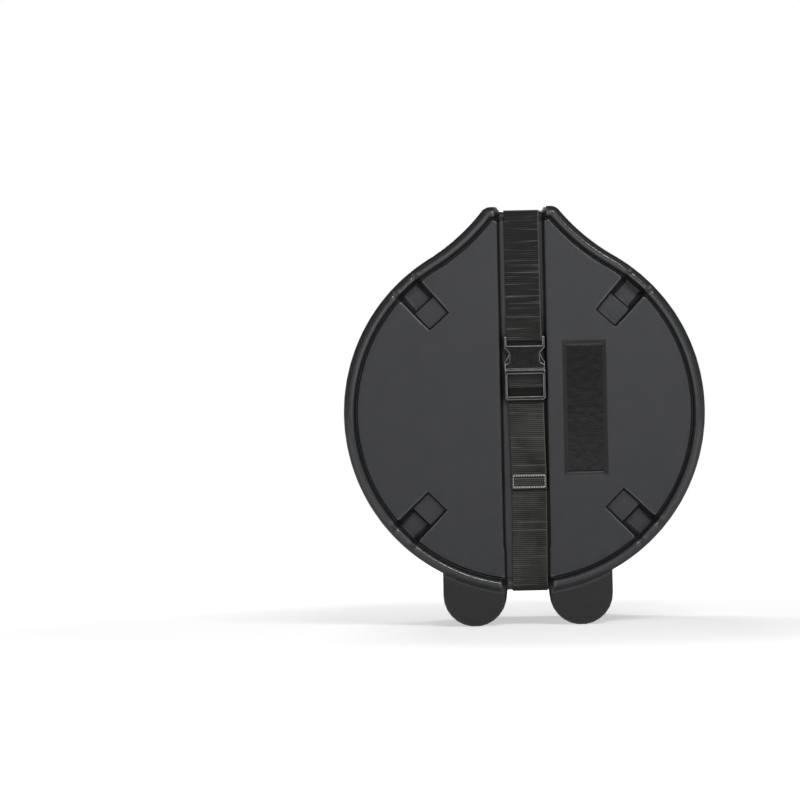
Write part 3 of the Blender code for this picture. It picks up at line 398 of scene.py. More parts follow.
yarn_bump = add_node(tree, "Bump", {"Strength": YARN_STRENGTH, "Distance": YARN_DEPTH},
                     {"Height": yarn_share.outputs["Result"]})
tree.links.new(yarn_bump.outputs["Normal"], shader.inputs["Normal"])
print("started", webbing.name, "with yarns", WARP_END, "mm apart")

# %% [markdown]
# ### Wear, slubs and painted light
#
# Hands fray the strap and dust greys it, so its tone changes slowly along it, and it is
# paler low down. Thick places in the weft, called slubs, show as pale lines across. The
# hollows between the ribs are painted dark as shade, and the right selvedge has a pale
# painted highlight.

# %% Wear the webbing
HANDLED = 45.0
WORN_FROM, WORN_TO = 0.2, 0.6
PALER_FROM, PALER_TO, HIGH_UP_SHARE = 450 * MM, 320 * MM, 0.2
SLUB_LENGTH, SLUB_PITCH = 110.0, 5.6
SLUB_FROM, SLUB_TO, SLUB_SHARE = 0.53, 0.68, 0.9
SELVEDGE_LIGHT_FROM, SELVEDGE_LIGHT_TO, SELVEDGE_LIGHT_SHARE = 23.2, 24.4, 0.75

web_place = add_node(tree, "SeparateXYZ", links={
    "Vector": add_node(tree, "TexCoord").outputs["Object"]})
handled = add_node(tree, "TexNoise", {"Scale": 1 / HANDLED, "Detail": 2.0}, {"Vector": woven})
worn = add_node(tree, "MapRange", {"From Min": WORN_FROM, "From Max": WORN_TO},
                {"Value": handled.outputs["Fac"]})
# The webbing's wear shows more toward the bottom, so it is paler low down.
paler_low_down = add_node(tree, "MapRange", {"From Min": PALER_FROM, "From Max": PALER_TO,
                                     "To Min": HIGH_UP_SHARE},
                  {"Value": web_place.outputs["Z"]})
handled_share = add_node(tree, "Math", {"operation": "MULTIPLY"}, {
    0: worn.outputs["Result"], 1: paler_low_down.outputs["Result"]})
fibre_colour = add_node(tree, "Mix", {
    "data_type": "RGBA", COLOUR_A: linear("#1a1a1a"), COLOUR_B: linear("#5a5b57")},
    {FACTOR: handled_share.outputs[0]})
long_picks = add_node(tree, "Mapping", {"Scale": (1 / SLUB_LENGTH, 1 / SLUB_PITCH, 1.0)},
                      {"Vector": woven})
slubs = add_node(tree, "TexNoise", {"Scale": 1.0, "Detail": 2.0, "Roughness": 0.5},
                 {"Vector": long_picks.outputs["Vector"]})
slub_share = add_node(tree, "MapRange", {"From Min": SLUB_FROM, "From Max": SLUB_TO,
                                         "To Max": SLUB_SHARE},
                      {"Value": slubs.outputs["Fac"]})
pick_colour = add_node(tree, "Mix", {"data_type": "RGBA", COLOUR_B: linear("#787974")}, {
    FACTOR: slub_share.outputs["Result"], COLOUR_A: fibre_colour.outputs[COLOUR_OUT]})
# The hollows between the ribs are painted dark as shade.
painted_hollow_shade = add_node(tree, "Mix", {"data_type": "RGBA", COLOUR_A: linear("#141515")}, {
    FACTOR: out_of_hollow.outputs["Result"], COLOUR_B: pick_colour.outputs[COLOUR_OUT]})
# A pale painted highlight runs along the right selvedge.
selvedge_highlight = add_node(tree, "MapRange", {"From Min": SELVEDGE_LIGHT_FROM, "From Max": SELVEDGE_LIGHT_TO,
                                     "To Max": SELVEDGE_LIGHT_SHARE}, {"Value": parts.outputs["X"]})
painted_selvedge_highlight = add_node(tree, "Mix", {"data_type": "RGBA", COLOUR_B: linear("#7d7e79")}, {
    FACTOR: selvedge_highlight.outputs["Result"], COLOUR_A: painted_hollow_shade.outputs[COLOUR_OUT]})
print("a slub is up to", SLUB_LENGTH, "mm long, so most cross the whole strap")

# %% [markdown]
# ### Painted shade in the buckle's slots
#
# Inside the buckle the webbing is painted nearly black as shade. Ambient occlusion finds the
# places close under a bar. In the ladder lock the webbing turns round one bar and dips into a
# slot above it and one below, so a band of painted shade is laid on both sides of that bar,
# and the webbing over the bar itself stays grey.

# %% Paint shade on the webbing in the slots
SLOT_REACH = 9 * MM
SLOT_FROM, SLOT_TO = 0.35, 0.8
BAR_DROP = 3.0 * MM
BAR_HALF_HEIGHT = 2.8 * MM
LOCK_HALF_HEIGHT = 18.0 * MM
SLOT_DARKNESS = 0.85

slot_occlusion = add_node(tree, "AmbientOcclusion", {"samples": AO_SAMPLES, "Distance": SLOT_REACH})
unshaded_by_bars = add_node(tree, "MapRange", {"From Min": SLOT_FROM, "From Max": SLOT_TO},
                       {"Value": slot_occlusion.outputs["AO"]})
# Where a bar hides the open air, the webbing is painted nearly black as shade.
occlusion_shaded_web = add_node(tree, "Mix", {"data_type": "RGBA", COLOUR_A: linear("#0b0b0b")}, {
    FACTOR: unshaded_by_bars.outputs["Result"], COLOUR_B: painted_selvedge_highlight.outputs[COLOUR_OUT]})
bar_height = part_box("web_adjuster_turn")[1].z - BAR_DROP
above_bar = add_node(tree, "Math", {"operation": "SUBTRACT", 1: bar_height},
                     {0: web_place.outputs["Z"]})
from_bar = add_node(tree, "Math", {"operation": "ABSOLUTE"}, {0: above_bar.outputs[0]})
off_bar = add_node(tree, "MapRange", {"From Min": BAR_HALF_HEIGHT,
                                      "From Max": BAR_HALF_HEIGHT + MASK_EDGE},
                   {"Value": from_bar.outputs[0]})
in_lock = add_node(tree, "MapRange", {"From Min": LOCK_HALF_HEIGHT + MASK_EDGE,
                                      "From Max": LOCK_HALF_HEIGHT},
                   {"Value": from_bar.outputs[0]})
in_front = add_node(tree, "MapRange", {"From Min": FRONT_FROM, "From Max": FRONT_TO,
                                       "To Max": SLOT_DARKNESS},
                    {"Value": web_place.outputs["Y"]})
slot_shade = in_front.outputs["Result"]
for mask in (off_bar, in_lock):
    slot_shade = add_node(tree, "Math", {"operation": "MULTIPLY"}, {
        0: slot_shade, 1: mask.outputs["Result"]}).outputs[0]
# Bands above and below the lock's bar get painted shade.
painted_slot_shade = add_node(tree, "Mix", {"data_type": "RGBA", COLOUR_B: linear("#050505")}, {
    FACTOR: slot_shade, COLOUR_A: occlusion_shaded_web.outputs[COLOUR_OUT]})
tree.links.new(painted_slot_shade.outputs[COLOUR_OUT], shader.inputs["Base Color"])
print("made", webbing.name, "and its bar is at", round(bar_height, 4), "m")

# %% [markdown]
# ## Moulded acetal, vinyl rubber, blackened steel, foam and thread
#
# The buckle is injection-moulded acetal: black, hard and quite smooth, so it shows crisp
# highlights with faint flow marks, and a pale painted highlight lies along its thin edges.
# The grip is moulded in vinyl rubber, which is softer and shinier. The brackets, pins and
# rivets are blackened steel, whose thin oxide is a little uneven. The pads are closed-cell
# foam, dull and full of small cells. The hem is sewn with pale polyester thread, and the
# buckle's loop with black. All of them are plain finishes that change a little from place to
# place, so one function varies their colour, gloss and relief by one noise at the scale of
# their flow marks, oxide or cells.

# %% Make the smaller materials
GLINT_FROM, GLINT_TO = 0.505, 0.535
NOISE_FROM, NOISE_TO = 0.3, 0.7


def uneven(tree, shader, size_mm, dark, light, smooth, rough, bump_mm, rubbed_and_highlit=None):
    """Gives a finish small changes at one scale, and a painted edge highlight in another colour.
    """
    place = add_node(tree, "TexCoord").outputs["Object"]
    noise = add_node(tree, "TexNoise", {"Scale": per(size_mm), "Detail": 4.0},
                     {"Vector": place})
    tone = add_node(tree, "Mix", {
        "data_type": "RGBA", COLOUR_A: linear(dark), COLOUR_B: linear(light)},
        {FACTOR: noise.outputs["Fac"]})
    gloss = add_node(tree, "MapRange", {"From Min": NOISE_FROM, "From Max": NOISE_TO,
                                        "To Min": smooth, "To Max": rough},
                     {"Value": noise.outputs["Fac"]})
    bump = add_node(tree, "Bump", {"Strength": 0.5, "Distance": bump_mm * MM},
                    {"Height": noise.outputs["Fac"]})
    # Pointy edges get a pale painted highlight in the given colour.
    if rubbed_and_highlit:
        edge = add_node(tree, "NewGeometry").outputs["Pointiness"]
        painted_edge_glint = add_node(tree, "MapRange", {"From Min": GLINT_FROM, "From Max": GLINT_TO},
                        {"Value": edge})
        tone = add_node(tree, "Mix", {"data_type": "RGBA", COLOUR_B: linear(rubbed_and_highlit)}, {
            FACTOR: painted_edge_glint.outputs["Result"], COLOUR_A: tone.outputs[COLOUR_OUT]})
    tree.links.new(tone.outputs[COLOUR_OUT], shader.inputs["Base Color"])
    tree.links.new(gloss.outputs["Result"], shader.inputs["Roughness"])
    tree.links.new(bump.outputs["Normal"], shader.inputs["Normal"])


# The acetal's thin edges get a near-white painted highlight.
acetal, tree, shader = new_material("moulded_acetal", {"IOR": 1.48})
uneven(tree, shader, size_mm=5.0, dark="#1c1c1d", light="#2e2e2f", smooth=0.15, rough=0.22,
       bump_mm=0.03, rubbed_and_highlit="#e8e9ec")
vinyl, tree, shader = new_material("moulded_vinyl_rubber", {
    "IOR": 1.53, "Coat Weight": 0.8, "Coat Roughness": 0.07})
uneven(tree, shader, size_mm=6.0, dark="#0e0e0f", light="#161616", smooth=0.18, rough=0.26,
       bump_mm=0.03)
steel, tree, shader = new_material("blackened_steel", {"Metallic": 1.0})
uneven(tree, shader, size_mm=3.0, dark="#28282a", light="#4c4c4e", smooth=0.30, rough=0.48,
       bump_mm=0.06)
foam, tree, shader = new_material("closed_cell_foam", {"IOR": 1.4, "Specular IOR Level": 0.2})
uneven(tree, shader, size_mm=1.6, dark="#232426", light="#3a3b3e", smooth=0.85, rough=0.98,
       bump_mm=0.5)
pale_thread, tree, shader = new_material("pale_polyester_thread", {
    "Sheen Weight": 0.2, "IOR": 1.55})
uneven(tree, shader, size_mm=0.9, dark="#e9e7df", light="#fbfaf6", smooth=0.55, rough=0.75,
       bump_mm=0.15)
dark_thread, tree, shader = new_material("black_polyester_thread", {
    "Sheen Weight": 0.2, "IOR": 1.55})
uneven(tree, shader, size_mm=0.9, dark="#1b1b1b", light="#30302f", smooth=0.55, rough=0.75,
       bump_mm=0.15)
print("made", len(bpy.data.materials), "materials with those of the working model")

# %% [markdown]
# ## Helpers for pieces
#
# A finished piece is a mesh in the working model's own place. It gets a material, rides on
# the body that it belongs to and hides the plain nodes it stands for.

# %% Settle a mesh and hand it over
def settle(piece):
    """Turns what a piece's modifiers make into its own mesh."""
    bpy.context.view_layer.update()
    made = piece.evaluated_get(bpy.context.evaluated_depsgraph_get())
    mesh = bpy.data.meshes.new_from_object(made)
    piece.modifiers.clear()
    piece.data = mesh
    mesh.shade_smooth()
    return piece


def hand_over(piece, material, nodes=(), body=None):
    """Dresses a piece, and lets it stand for its plain nodes and ride on a body."""
    piece.data.materials.clear()
    piece.data.materials.append(material)
    if nodes:
        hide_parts(*nodes)
    if body:
        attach(piece, body)
    print(piece.name, len(piece.data.polygons), "faces")
    return piece


print("the working model has", len(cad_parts), "nodes to dress")

# %% [markdown]
# ## The two shells
#
# Powder doesn't reach into sharp corners, so a rotomoulded part has none: every edge is round
# by 2 or 3 mm, inside and out. Beveling the plain model edge by edge would be slow and would
# break where many cuts meet. Filling it with small voxels and smoothing them rounds every
# edge alike, which is just what the process does. The voxels lose nothing that shows, and
# the forms that the plain model lacks are pressed into the smooth copy afterwards.

# %% Mould soft copies of nodes
def moulded_copy(name, node, voxel, rounds, kept_share, form=None):
    """A soft-edged copy of a node: filled with small voxels, smoothed, then thinned out.

    A form takes the points of the smooth copy, before it is thinned, and returns them moved.
    """
    piece = bpy.data.objects.new(name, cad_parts[node].data.copy())
    bpy.context.scene.collection.objects.link(piece)
    voxels = piece.modifiers.new("voxels", "REMESH")
    voxels.mode = "VOXEL"
    voxels.voxel_size = voxel
    soften = piece.modifiers.new("soft_edges", "SMOOTH")
    soften.factor = 0.5
    soften.iterations = rounds
    settle(piece)
    if form:
        points = np.empty(len(piece.data.vertices) * 3, np.float32)
        piece.data.vertices.foreach_get("co", points)
        points = form(points.reshape(-1, 3).astype(float))
        piece.data.vertices.foreach_set("co", points.astype(np.float32).ravel())
    thin = piece.modifiers.new("fewer_faces", "DECIMATE")
    thin.ratio = kept_share
    return settle(piece)


plain_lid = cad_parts["lid_shell"].data
print("the plain lid has only", len(plain_lid.polygons), "faces")

# %% [markdown]
# ### The outline as a distance
#
# The bead, the groove behind it and the side walls all follow the case's outline: a round
# body, two hollow shoulders and two small horns beside the strap. Once a function gives each
# point's distance from that outline, each of them becomes a simple rule about distance.

# %% Find the middle of the hollow shoulders
BODY_RADIUS = 258 * MM
HORN_RADIUS = 16 * MM
HORN_OFFSET = 43 * MM
SHOULDER_RADIUS = 290 * MM
top_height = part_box("lid_shell")[1].z


def touching_circle(near_centre, near_radius, far_centre, far_radius, radius):
    """Centre of the circle of one radius that touches two others from outside, on the right."""
    line = far_centre - near_centre
    near = near_radius + radius
    far = far_radius + radius
    along = (near ** 2 - far ** 2 + line.length ** 2) / (2 * line.length)
    side = Vector((line.y, -line.x)).normalized()
    return near_centre + line.normalized() * along + side * math.sqrt(near ** 2 - along ** 2)


body_middle = Vector((0, BODY_CENTRE_HEIGHT))
horn_middle = Vector((HORN_OFFSET, top_height - HORN_RADIUS))
hollow_middle = touching_circle(body_middle, BODY_RADIUS, horn_middle, HORN_RADIUS,
                                SHOULDER_RADIUS)
print("the shoulders are hollow about", [round(value, 3) for value in hollow_middle])

# %% Measure how far a point lies inside the outline
def inside_outline(points):
    """Distance of each point from the outline: round body, hollow shoulders, two horns."""
    x, z = np.abs(points[:, 0]), points[:, 2]
    hollow_x, hollow_z = x - hollow_middle.x, z - hollow_middle.y
    turn = np.arctan2(hollow_z, -hollow_x)
    from_body = BODY_RADIUS - np.hypot(x, z - BODY_CENTRE_HEIGHT)
    from_horn = HORN_RADIUS - np.hypot(x - horn_middle.x, z - horn_middle.y)
    from_horn = np.where(x < horn_middle.x, top_height - z, from_horn)
    to_body = body_middle - hollow_middle
    to_horn = horn_middle - hollow_middle
    body_turn = math.atan2(to_body.y, -to_body.x)
    horn_turn = math.atan2(to_horn.y, -to_horn.x)
    from_hollow = np.hypot(hollow_x, hollow_z) - SHOULDER_RADIUS
    return np.where(turn < body_turn, from_body, np.where(turn > horn_turn, from_horn,
                                                          from_hollow))


lid_middle = np.array([[0.0, 0.0, BODY_CENTRE_HEIGHT]])
print("the lid's middle lies", round(float(inside_outline(lid_middle)[0]), 3), "m inside")

# %% [markdown]
# ### The rolled bead
#
# A roll of about 17 mm runs round the lid's face and stiffens it, with a groove behind it. The
# plain model has it as a low step, so its points are moved forward and back along a half-round
# profile, by their distance from the outline. The move fades out through the thickness of the
# wall. Beside each corner recess the roll is pinched, because the mould's blocks press there.

# %% Roll the bead and lay the lid's face behind it
BEAD_MIDDLE = 8.2 * MM
BEAD_HALF_WIDTH = 8.8 * MM
BEAD_RISE = 7.4 * MM
STEP_FROM, STEP_TO = 13.0 * MM, 20.0 * MM
PANEL_DEPTH = 6.0 * MM
BEAD_FADE = (9.0 * MM, 20.0 * MM)
RIM_ROUND = (2.0 * MM, 7.0 * MM)
GROOVE_MIDDLE = 17.4 * MM
GROOVE_SPREAD = 2.3 * MM
GROOVE_DEPTH = 3.0 * MM
RECESS_TURNS = [math.radians(90 - degrees) for degrees in (42.0, 134.5, 225.5, 318.0)]
RECESS_HALF_WIDTH = 18.5 * MM
RECESS_START, RECESS_STEP, RECESS_END = 177.0 * MM, 209.0 * MM, 244.0 * MM
PINCH_SHARE = 0.4
PINCH_SPREAD = 4.5 * MM


def smooth_share(values, low, high):
    """0 below low, 1 above high, and a smooth rise between them."""
    share = np.clip((values - low) / (high - low), 0, 1)
    return share * share * (3 - 2 * share)


def along_and_across(points, turn):
    """Places in one recess: how far out from the body's middle, and how far from its line."""
    x, z = points[:, 0], points[:, 2] - BODY_CENTRE_HEIGHT
    return (x * math.cos(turn) + z * math.sin(turn),
            np.abs(z * math.cos(turn) - x * math.sin(turn)))


def roll_profile(points, distance):
    """How far behind the lid's foremost plane its face lies: roll, groove and flat panel."""
    pinch = np.zeros(len(points))
    for turn in RECESS_TURNS:
        out, aside = along_and_across(points, turn)
        dip = np.exp(-((aside - RECESS_HALF_WIDTH) / PINCH_SPREAD) ** 2)
        pinch += PINCH_SHARE * dip * (out > RECESS_STEP)
    share = np.clip((distance - BEAD_MIDDLE) / BEAD_HALF_WIDTH, -1, 1)
    roll = PANEL_DEPTH - BEAD_RISE * np.sqrt(1 - share ** 2) * (1 - pinch)
    groove = GROOVE_DEPTH * np.exp(-((distance - GROOVE_MIDDLE) / GROOVE_SPREAD) ** 2)
    edge_depth = PANEL_DEPTH * pinch
    return np.where(distance > BEAD_MIDDLE, roll + groove, np.minimum(roll, edge_depth))


def roll_bead(points):
    """Moves the lid's face into a half-round bead with a groove behind it."""
    distance = inside_outline(points)
    depth = points[:, 1] - LID_FACE_Y
    plain = PANEL_DEPTH * smooth_share(distance, STEP_FROM, STEP_TO)
    rolled = roll_profile(points, distance)
    strength = 1 - smooth_share(depth, *BEAD_FADE)
    points[:, 1] += (rolled - plain) * strength * smooth_share(distance, *RIM_ROUND)
    return points


print("the roll rises", round(BEAD_RISE / MM, 1), "mm above the lid's panel")

# %% [markdown]
# ### Draft in the recesses
#
# A moulding comes off its mould only if the walls of its hollows lean outward, and the deep
# hollows lean most. The plain recesses have upright walls, so the points of their outer skin
# are moved to a leaning wall, wide at the deep outer end and narrow at the inner one. It starts
# a little way out on the panel, so that each recess opens toward the roll.

# %% Lean the walls of the corner recesses
SHALLOW_DEPTH, DEEP_DEPTH = 12.0 * MM, 20.0 * MM
NARROW_WALL, STEP_WALL, WIDE_WALL = 2.2 * MM, 6.5 * MM, 9.0 * MM
NARROW_FLARE, WIDE_FLARE = 1.0 * MM, 4.2 * MM
START_WALL, RISER_WALL, END_WALL = 2.5 * MM, 3.0 * MM, 5.0 * MM
SKIN = 2.0 * MM
PANEL_SKIN = 2.6 * MM
BRINK = 1.6 * MM


def lean_recess_walls(points):
    """Makes the upright walls of the lid's four recesses into leaning ones."""
    distance = inside_outline(points)
    brim = roll_profile(points, distance)
    for turn in RECESS_TURNS:
        out, aside = along_and_across(points, turn)
        depth = points[:, 1] - LID_FACE_Y
        half_width = RECESS_HALF_WIDTH + np.interp(out, (RECESS_START, RECESS_END),
                                                   (NARROW_FLARE, WIDE_FLARE))
        deep_end = out > RECESS_STEP - BRINK
        # Only the outer skin moves, and the inner one keeps its place behind it.
        skin_end = np.where(aside > RECESS_HALF_WIDTH + BRINK, brim + PANEL_SKIN,
                            np.where(deep_end, DEEP_DEPTH, SHALLOW_DEPTH) + SKIN)
        inside = (aside < half_width) & (out > RECESS_START - BRINK) \
            & (out < RECESS_END + BRINK) & (depth < skin_end) & (depth > PANEL_DEPTH - BRINK)
        wall = np.interp(out, (RECESS_START, RECESS_STEP, RECESS_STEP + RISER_WALL, RECESS_END),
                         (NARROW_WALL, NARROW_WALL, STEP_WALL, WIDE_WALL))
        floor = SHALLOW_DEPTH + (DEEP_DEPTH - SHALLOW_DEPTH) \
            * smooth_share(out, RECESS_STEP, RECESS_STEP + RISER_WALL)
        share = np.minimum.reduce([
            smooth_share(half_width - aside, 0, wall + half_width - RECESS_HALF_WIDTH),
            smooth_share(out, RECESS_START, RECESS_START + START_WALL),
            smooth_share(-out, -RECESS_END, -RECESS_END + END_WALL)])
        leaning = brim + (floor - brim) * share
        points[:, 1] = np.where(inside, LID_FACE_Y + leaning, points[:, 1])
    return points


wall_lean = math.degrees(math.atan2(WIDE_WALL, DEEP_DEPTH - PANEL_DEPTH))
print("the deepest walls lean by about", round(wall_lean), "degrees")

# %% [markdown]
# ### A clean outline
#
# The voxels leave the side wall very slightly stepped, which would show against the white
# paper. Points that lie within about a millimetre of the true outline are put back on it.

# %% Put the side walls back on the outline
PROBE = 0.1 * MM
ON_WALL, OFF_WALL = 0.8 * MM, 1.4 * MM

base_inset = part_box("lid_shell")[1].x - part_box("base_shell")[1].x


def trim_to_outline(points, inset=0.0):
    """Moves points of the side wall straight out or in to the outline, or to one inside it."""
    distance = inside_outline(points) - inset
    # The distance grows straight inward, so its slope gives the way to the outline.
    slope = np.zeros_like(points)
    for axis in (0, 2):
        beside = points.copy()
        beside[:, axis] += PROBE
        slope[:, axis] = (inside_outline(beside) - inset - distance) / PROBE
    share = 1 - smooth_share(np.abs(distance), ON_WALL, OFF_WALL)
    return points - slope * (distance * share)[:, None]


def form_lid_face(points):
    """Rolls the bead, leans the recess walls and cleans the outline, in that order."""
    return trim_to_outline(lean_recess_walls(roll_bead(points)))


def form_base(points):
    """Cleans the base's outline, which lies inside the lid's by the lid's wall and a gap."""
    return trim_to_outline(points, base_inset)


print("the base is", round(base_inset / MM, 1), "mm smaller than the lid all round")

# %% [markdown]
# ### Moulding both shells
#
# A voxel of 1.6 mm is small enough to keep the walls and large enough to be quick, and four
# rounds of smoothing round each edge by about 2 mm. Most of a shell is nearly flat, so seven
# faces in ten can go afterwards without a trace.

# %% Mould the lid and the base
SHELL_VOXEL = 1.6 * MM
SHELL_ROUNDS = 4
SHELL_KEPT_SHARE = 0.3

lid = moulded_copy("lid_moulding", "lid_shell", SHELL_VOXEL, SHELL_ROUNDS, SHELL_KEPT_SHARE,
                   form_lid_face)
hand_over(lid, polyethylene, ["lid_shell"], "lid")
base = moulded_copy("base_moulding", "base_shell", SHELL_VOXEL, SHELL_ROUNDS, SHELL_KEPT_SHARE,
                    form_base)
hand_over(base, polyethylene, ["base_shell"], "base")

# %% [markdown]
# ## The strap's route
#
# The strap is one length of webbing, 50 mm wide. It starts in a sewn loop on the buckle's
# socket, runs up over the lid, down the back, under the case and up the lid again, turns
# through the plug's ladder lock and ends in a folded hem. Its middle line is a few straight
# runs joined by arcs, taken from the plain lengths of the working model.

# %% Lay out the strap's middle line
WEB_THICKNESS = 1.7 * MM
RIM_STEP = 6.0 * MM
STEP_LENGTH = 20.0 * MM
CHANNEL_BEND = 9.0 * MM
EASY_BEND = 5.0 * MM
SAMPLE = RIB_PITCH * MM / 4


def bent_line(corners):
    """Points along straight runs, with an arc of its own radius at each inner corner."""
    points = [corners[0][0]]
    for (before, _), (corner, radius), (after, _) in zip(corners, corners[1:], corners[2:]):
        back = before - corner
        ahead = after - corner
        # An arc never takes more than half of a run, so two arcs can't overlap.
        half = back.angle(ahead) / 2
        reach = min(radius / math.tan(half), back.length * 0.5, ahead.length * 0.5)
        radius = reach * math.tan(half)
        start = corner + back.normalized() * reach
        end = corner + ahead.normalized() * reach
        centre = corner + (back.normalized() + ahead.normalized()).normalized() \
            * radius / math.sin(half)
        steps = max(3, int(radius * (math.pi - 2 * half) / SAMPLE))
        for step in range(steps + 1):
            spoke = (start - centre).slerp(end - centre, step / steps)
            points.append(centre + spoke.normalized() * radius)
    points.append(corners[-1][0])
    return points


def evenly(points, step):
    """The same line with its points one step apart."""
    line = np.array([tuple(point) for point in points])
    reached = np.concatenate([[0], np.cumsum(np.linalg.norm(np.diff(line, axis=0), axis=1))])
    count = max(2, round(reached[-1] / step) + 1)
    wanted = np.linspace(0, reached[-1], count)
    return np.stack([np.interp(wanted, reached, line[:, axis]) for axis in (0, 1)], axis=1)


half_web = WEB_THICKNESS / 2
top_low, top_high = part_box("web_lid_top")
turn_low, turn_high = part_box("web_adjuster_turn")
loop_low, loop_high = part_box("web_loop")
hem_low, hem_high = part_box("web_tail_hem")
FRONT = top_low.y + half_web
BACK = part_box("web_base")[1].y - half_web
TOP = top_high.z - half_web
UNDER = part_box("web_lid_lower")[0].z + half_web
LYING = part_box("web_tail")[0].y + half_web
RIM = top_high.y
print("the strap lies from y", round(FRONT, 4), "to", round(BACK, 4))

# %% [markdown]
# ## Weaving a strip
#
# A strip is a row of closed rings along its middle line. Each ring is as wide as the webbing,
# with round selvedges at both ends, and its two faces swell and sink over the ribs, which are
# 1.5 mm apart on the real webbing and are drawn 2.8 mm apart so that they show. Neighbouring
# warp ends float over alternate ribs, which breaks the ribs up like small bricks. The strap
# is narrower than its channel and isn't pulled straight, so it drifts a little aside.

# %% Let the strap wander in its channel
DRIFT_HEIGHTS = (50 * MM, 190 * MM, 220 * MM, 345 * MM, 400 * MM, 560 * MM)
DRIFTS = (3.4 * MM, 4.9 * MM, 4.7 * MM, 2.2 * MM, 1.8 * MM, 0.8 * MM)
DRIFT_FADE = (LID_FACE_Y + 15 * MM, LID_FACE_Y + 120 * MM)


def drift(y, z):
    """How far right the strap lies at each point: most at the hem, and not at all behind."""
    on_front = 1 - smooth_share(y, *DRIFT_FADE)
    return np.interp(z, DRIFT_HEIGHTS, DRIFTS) * on_front


print("the strap drifts by up to", round(max(DRIFTS) / MM, 1), "mm")

# %% Shape one ring of the weave
WEB_WIDTH = 50.0 * MM
FACE_COLUMNS = 20
SELVEDGE_STEPS = 4
RIB_RELIEF = 0.20 * MM
FLOAT_RELIEF = 0.08 * MM


def ring_outline():
    """One ring: how far across each of its points is, and how high over the middle line."""
    # The order is the outer face, a round selvedge, the inner face, the other selvedge.
    flat = WEB_WIDTH / 2 - half_web
    columns = np.linspace(-flat, flat, FACE_COLUMNS)
    turn = np.linspace(0, math.pi, SELVEDGE_STEPS + 2)[1:-1]
    across = np.concatenate([columns, flat + half_web * np.sin(turn),
                             columns[::-1], -flat - half_web * np.sin(turn)])
    height = np.concatenate([np.ones(FACE_COLUMNS), np.cos(turn),
                             -np.ones(FACE_COLUMNS), -np.cos(turn)]) * half_web
    return across, height


def weave_relief(across, height, along):
    """How far each point sinks: the ribs across, and the warp ends that float over them."""
    on_face = (np.abs(height) >= half_web).astype(float) * np.sign(height)
    # Neighbouring warp ends float over alternate ribs.
    parity = np.where(np.round(across / MM / WARP_END / 2) % 2 == 0, 1, -1)
    phase = 2 * math.pi * along / RIB_PITCH
    rib = (np.cos(phase) - 1) / 2
    float_over = np.cos(phase / 2)[:, None] * parity[None, :]
    return on_face * (RIB_RELIEF * rib[:, None] + FLOAT_RELIEF * (float_over - 1) / 2)


print("each ring of a strip has", len(ring_outline()[0]), "points")

# %% Weave a strip
def joined_rings(name, points):
    """A closed mesh from rows of ring points: each ring is joined to the next one."""
    rings, count = points.shape[:2]
    here = (np.arange(rings - 1)[:, None] * count + np.arange(count)).ravel()
    beside = (np.arange(rings - 1)[:, None] * count + (np.arange(count) + 1) % count).ravel()
    quads = np.stack([here, here + count, beside + count, beside], axis=1).tolist()
    ends = [list(range(count)), list(range(rings * count - 1, (rings - 1) * count - 1, -1))]
    mesh = bpy.data.meshes.new(name)
    mesh.from_pydata(points.reshape(-1, 3).tolist(), [], quads + ends)
    mesh.validate()
    return mesh


def woven_strip(name, points, from_mm=0.0):
    """A strip of ribbed webbing along y, z points. Returns it and how far it reaches."""
    line = evenly(points, SAMPLE)
    aside = drift(line[:, 0], line[:, 1])
    way = np.gradient(line, axis=0)
    way /= np.linalg.norm(way, axis=1)[:, None]
    outward = np.stack([-way[:, 1], way[:, 0]], axis=1)
    steps = np.concatenate([[0], np.cumsum(np.linalg.norm(np.diff(line, axis=0), axis=1))])
    along = from_mm + steps / MM
    across, height = ring_outline()
    lift = height[None, :] + weave_relief(across, height, along)
    verts = np.empty((len(line), len(across), 3))
    verts[:, :, 0] = across + aside[:, None]
    verts[:, :, 1] = line[:, None, 0] + outward[:, None, 0] * lift
    verts[:, :, 2] = line[:, None, 1] + outward[:, None, 1] * lift
    mesh = joined_rings(name, verts)
    # The place of each point on the cloth, which the material's yarns follow.
    place = np.zeros(verts.shape, np.float32)
    place[:, :, 0] = across / MM
    place[:, :, 1] = along[:, None]
    woven = mesh.attributes.new("woven_mm", "FLOAT_VECTOR", "POINT")
    woven.data.foreach_set("vector", place.ravel())
    mesh.shade_smooth()
    strip = bpy.data.objects.new(name, mesh)
    bpy.context.scene.collection.objects.link(strip)
    return strip, along[-1]


print("the ribs are", RIB_PITCH, "mm apart, with a ring every", round(SAMPLE / MM, 2), "mm")

# %% [markdown]
# ## The strap's three lengths
#
# The strap is made in three lengths. The long one goes round the case, the upper one ends in
# the buckle's loop, and the tail lies on the lower run.

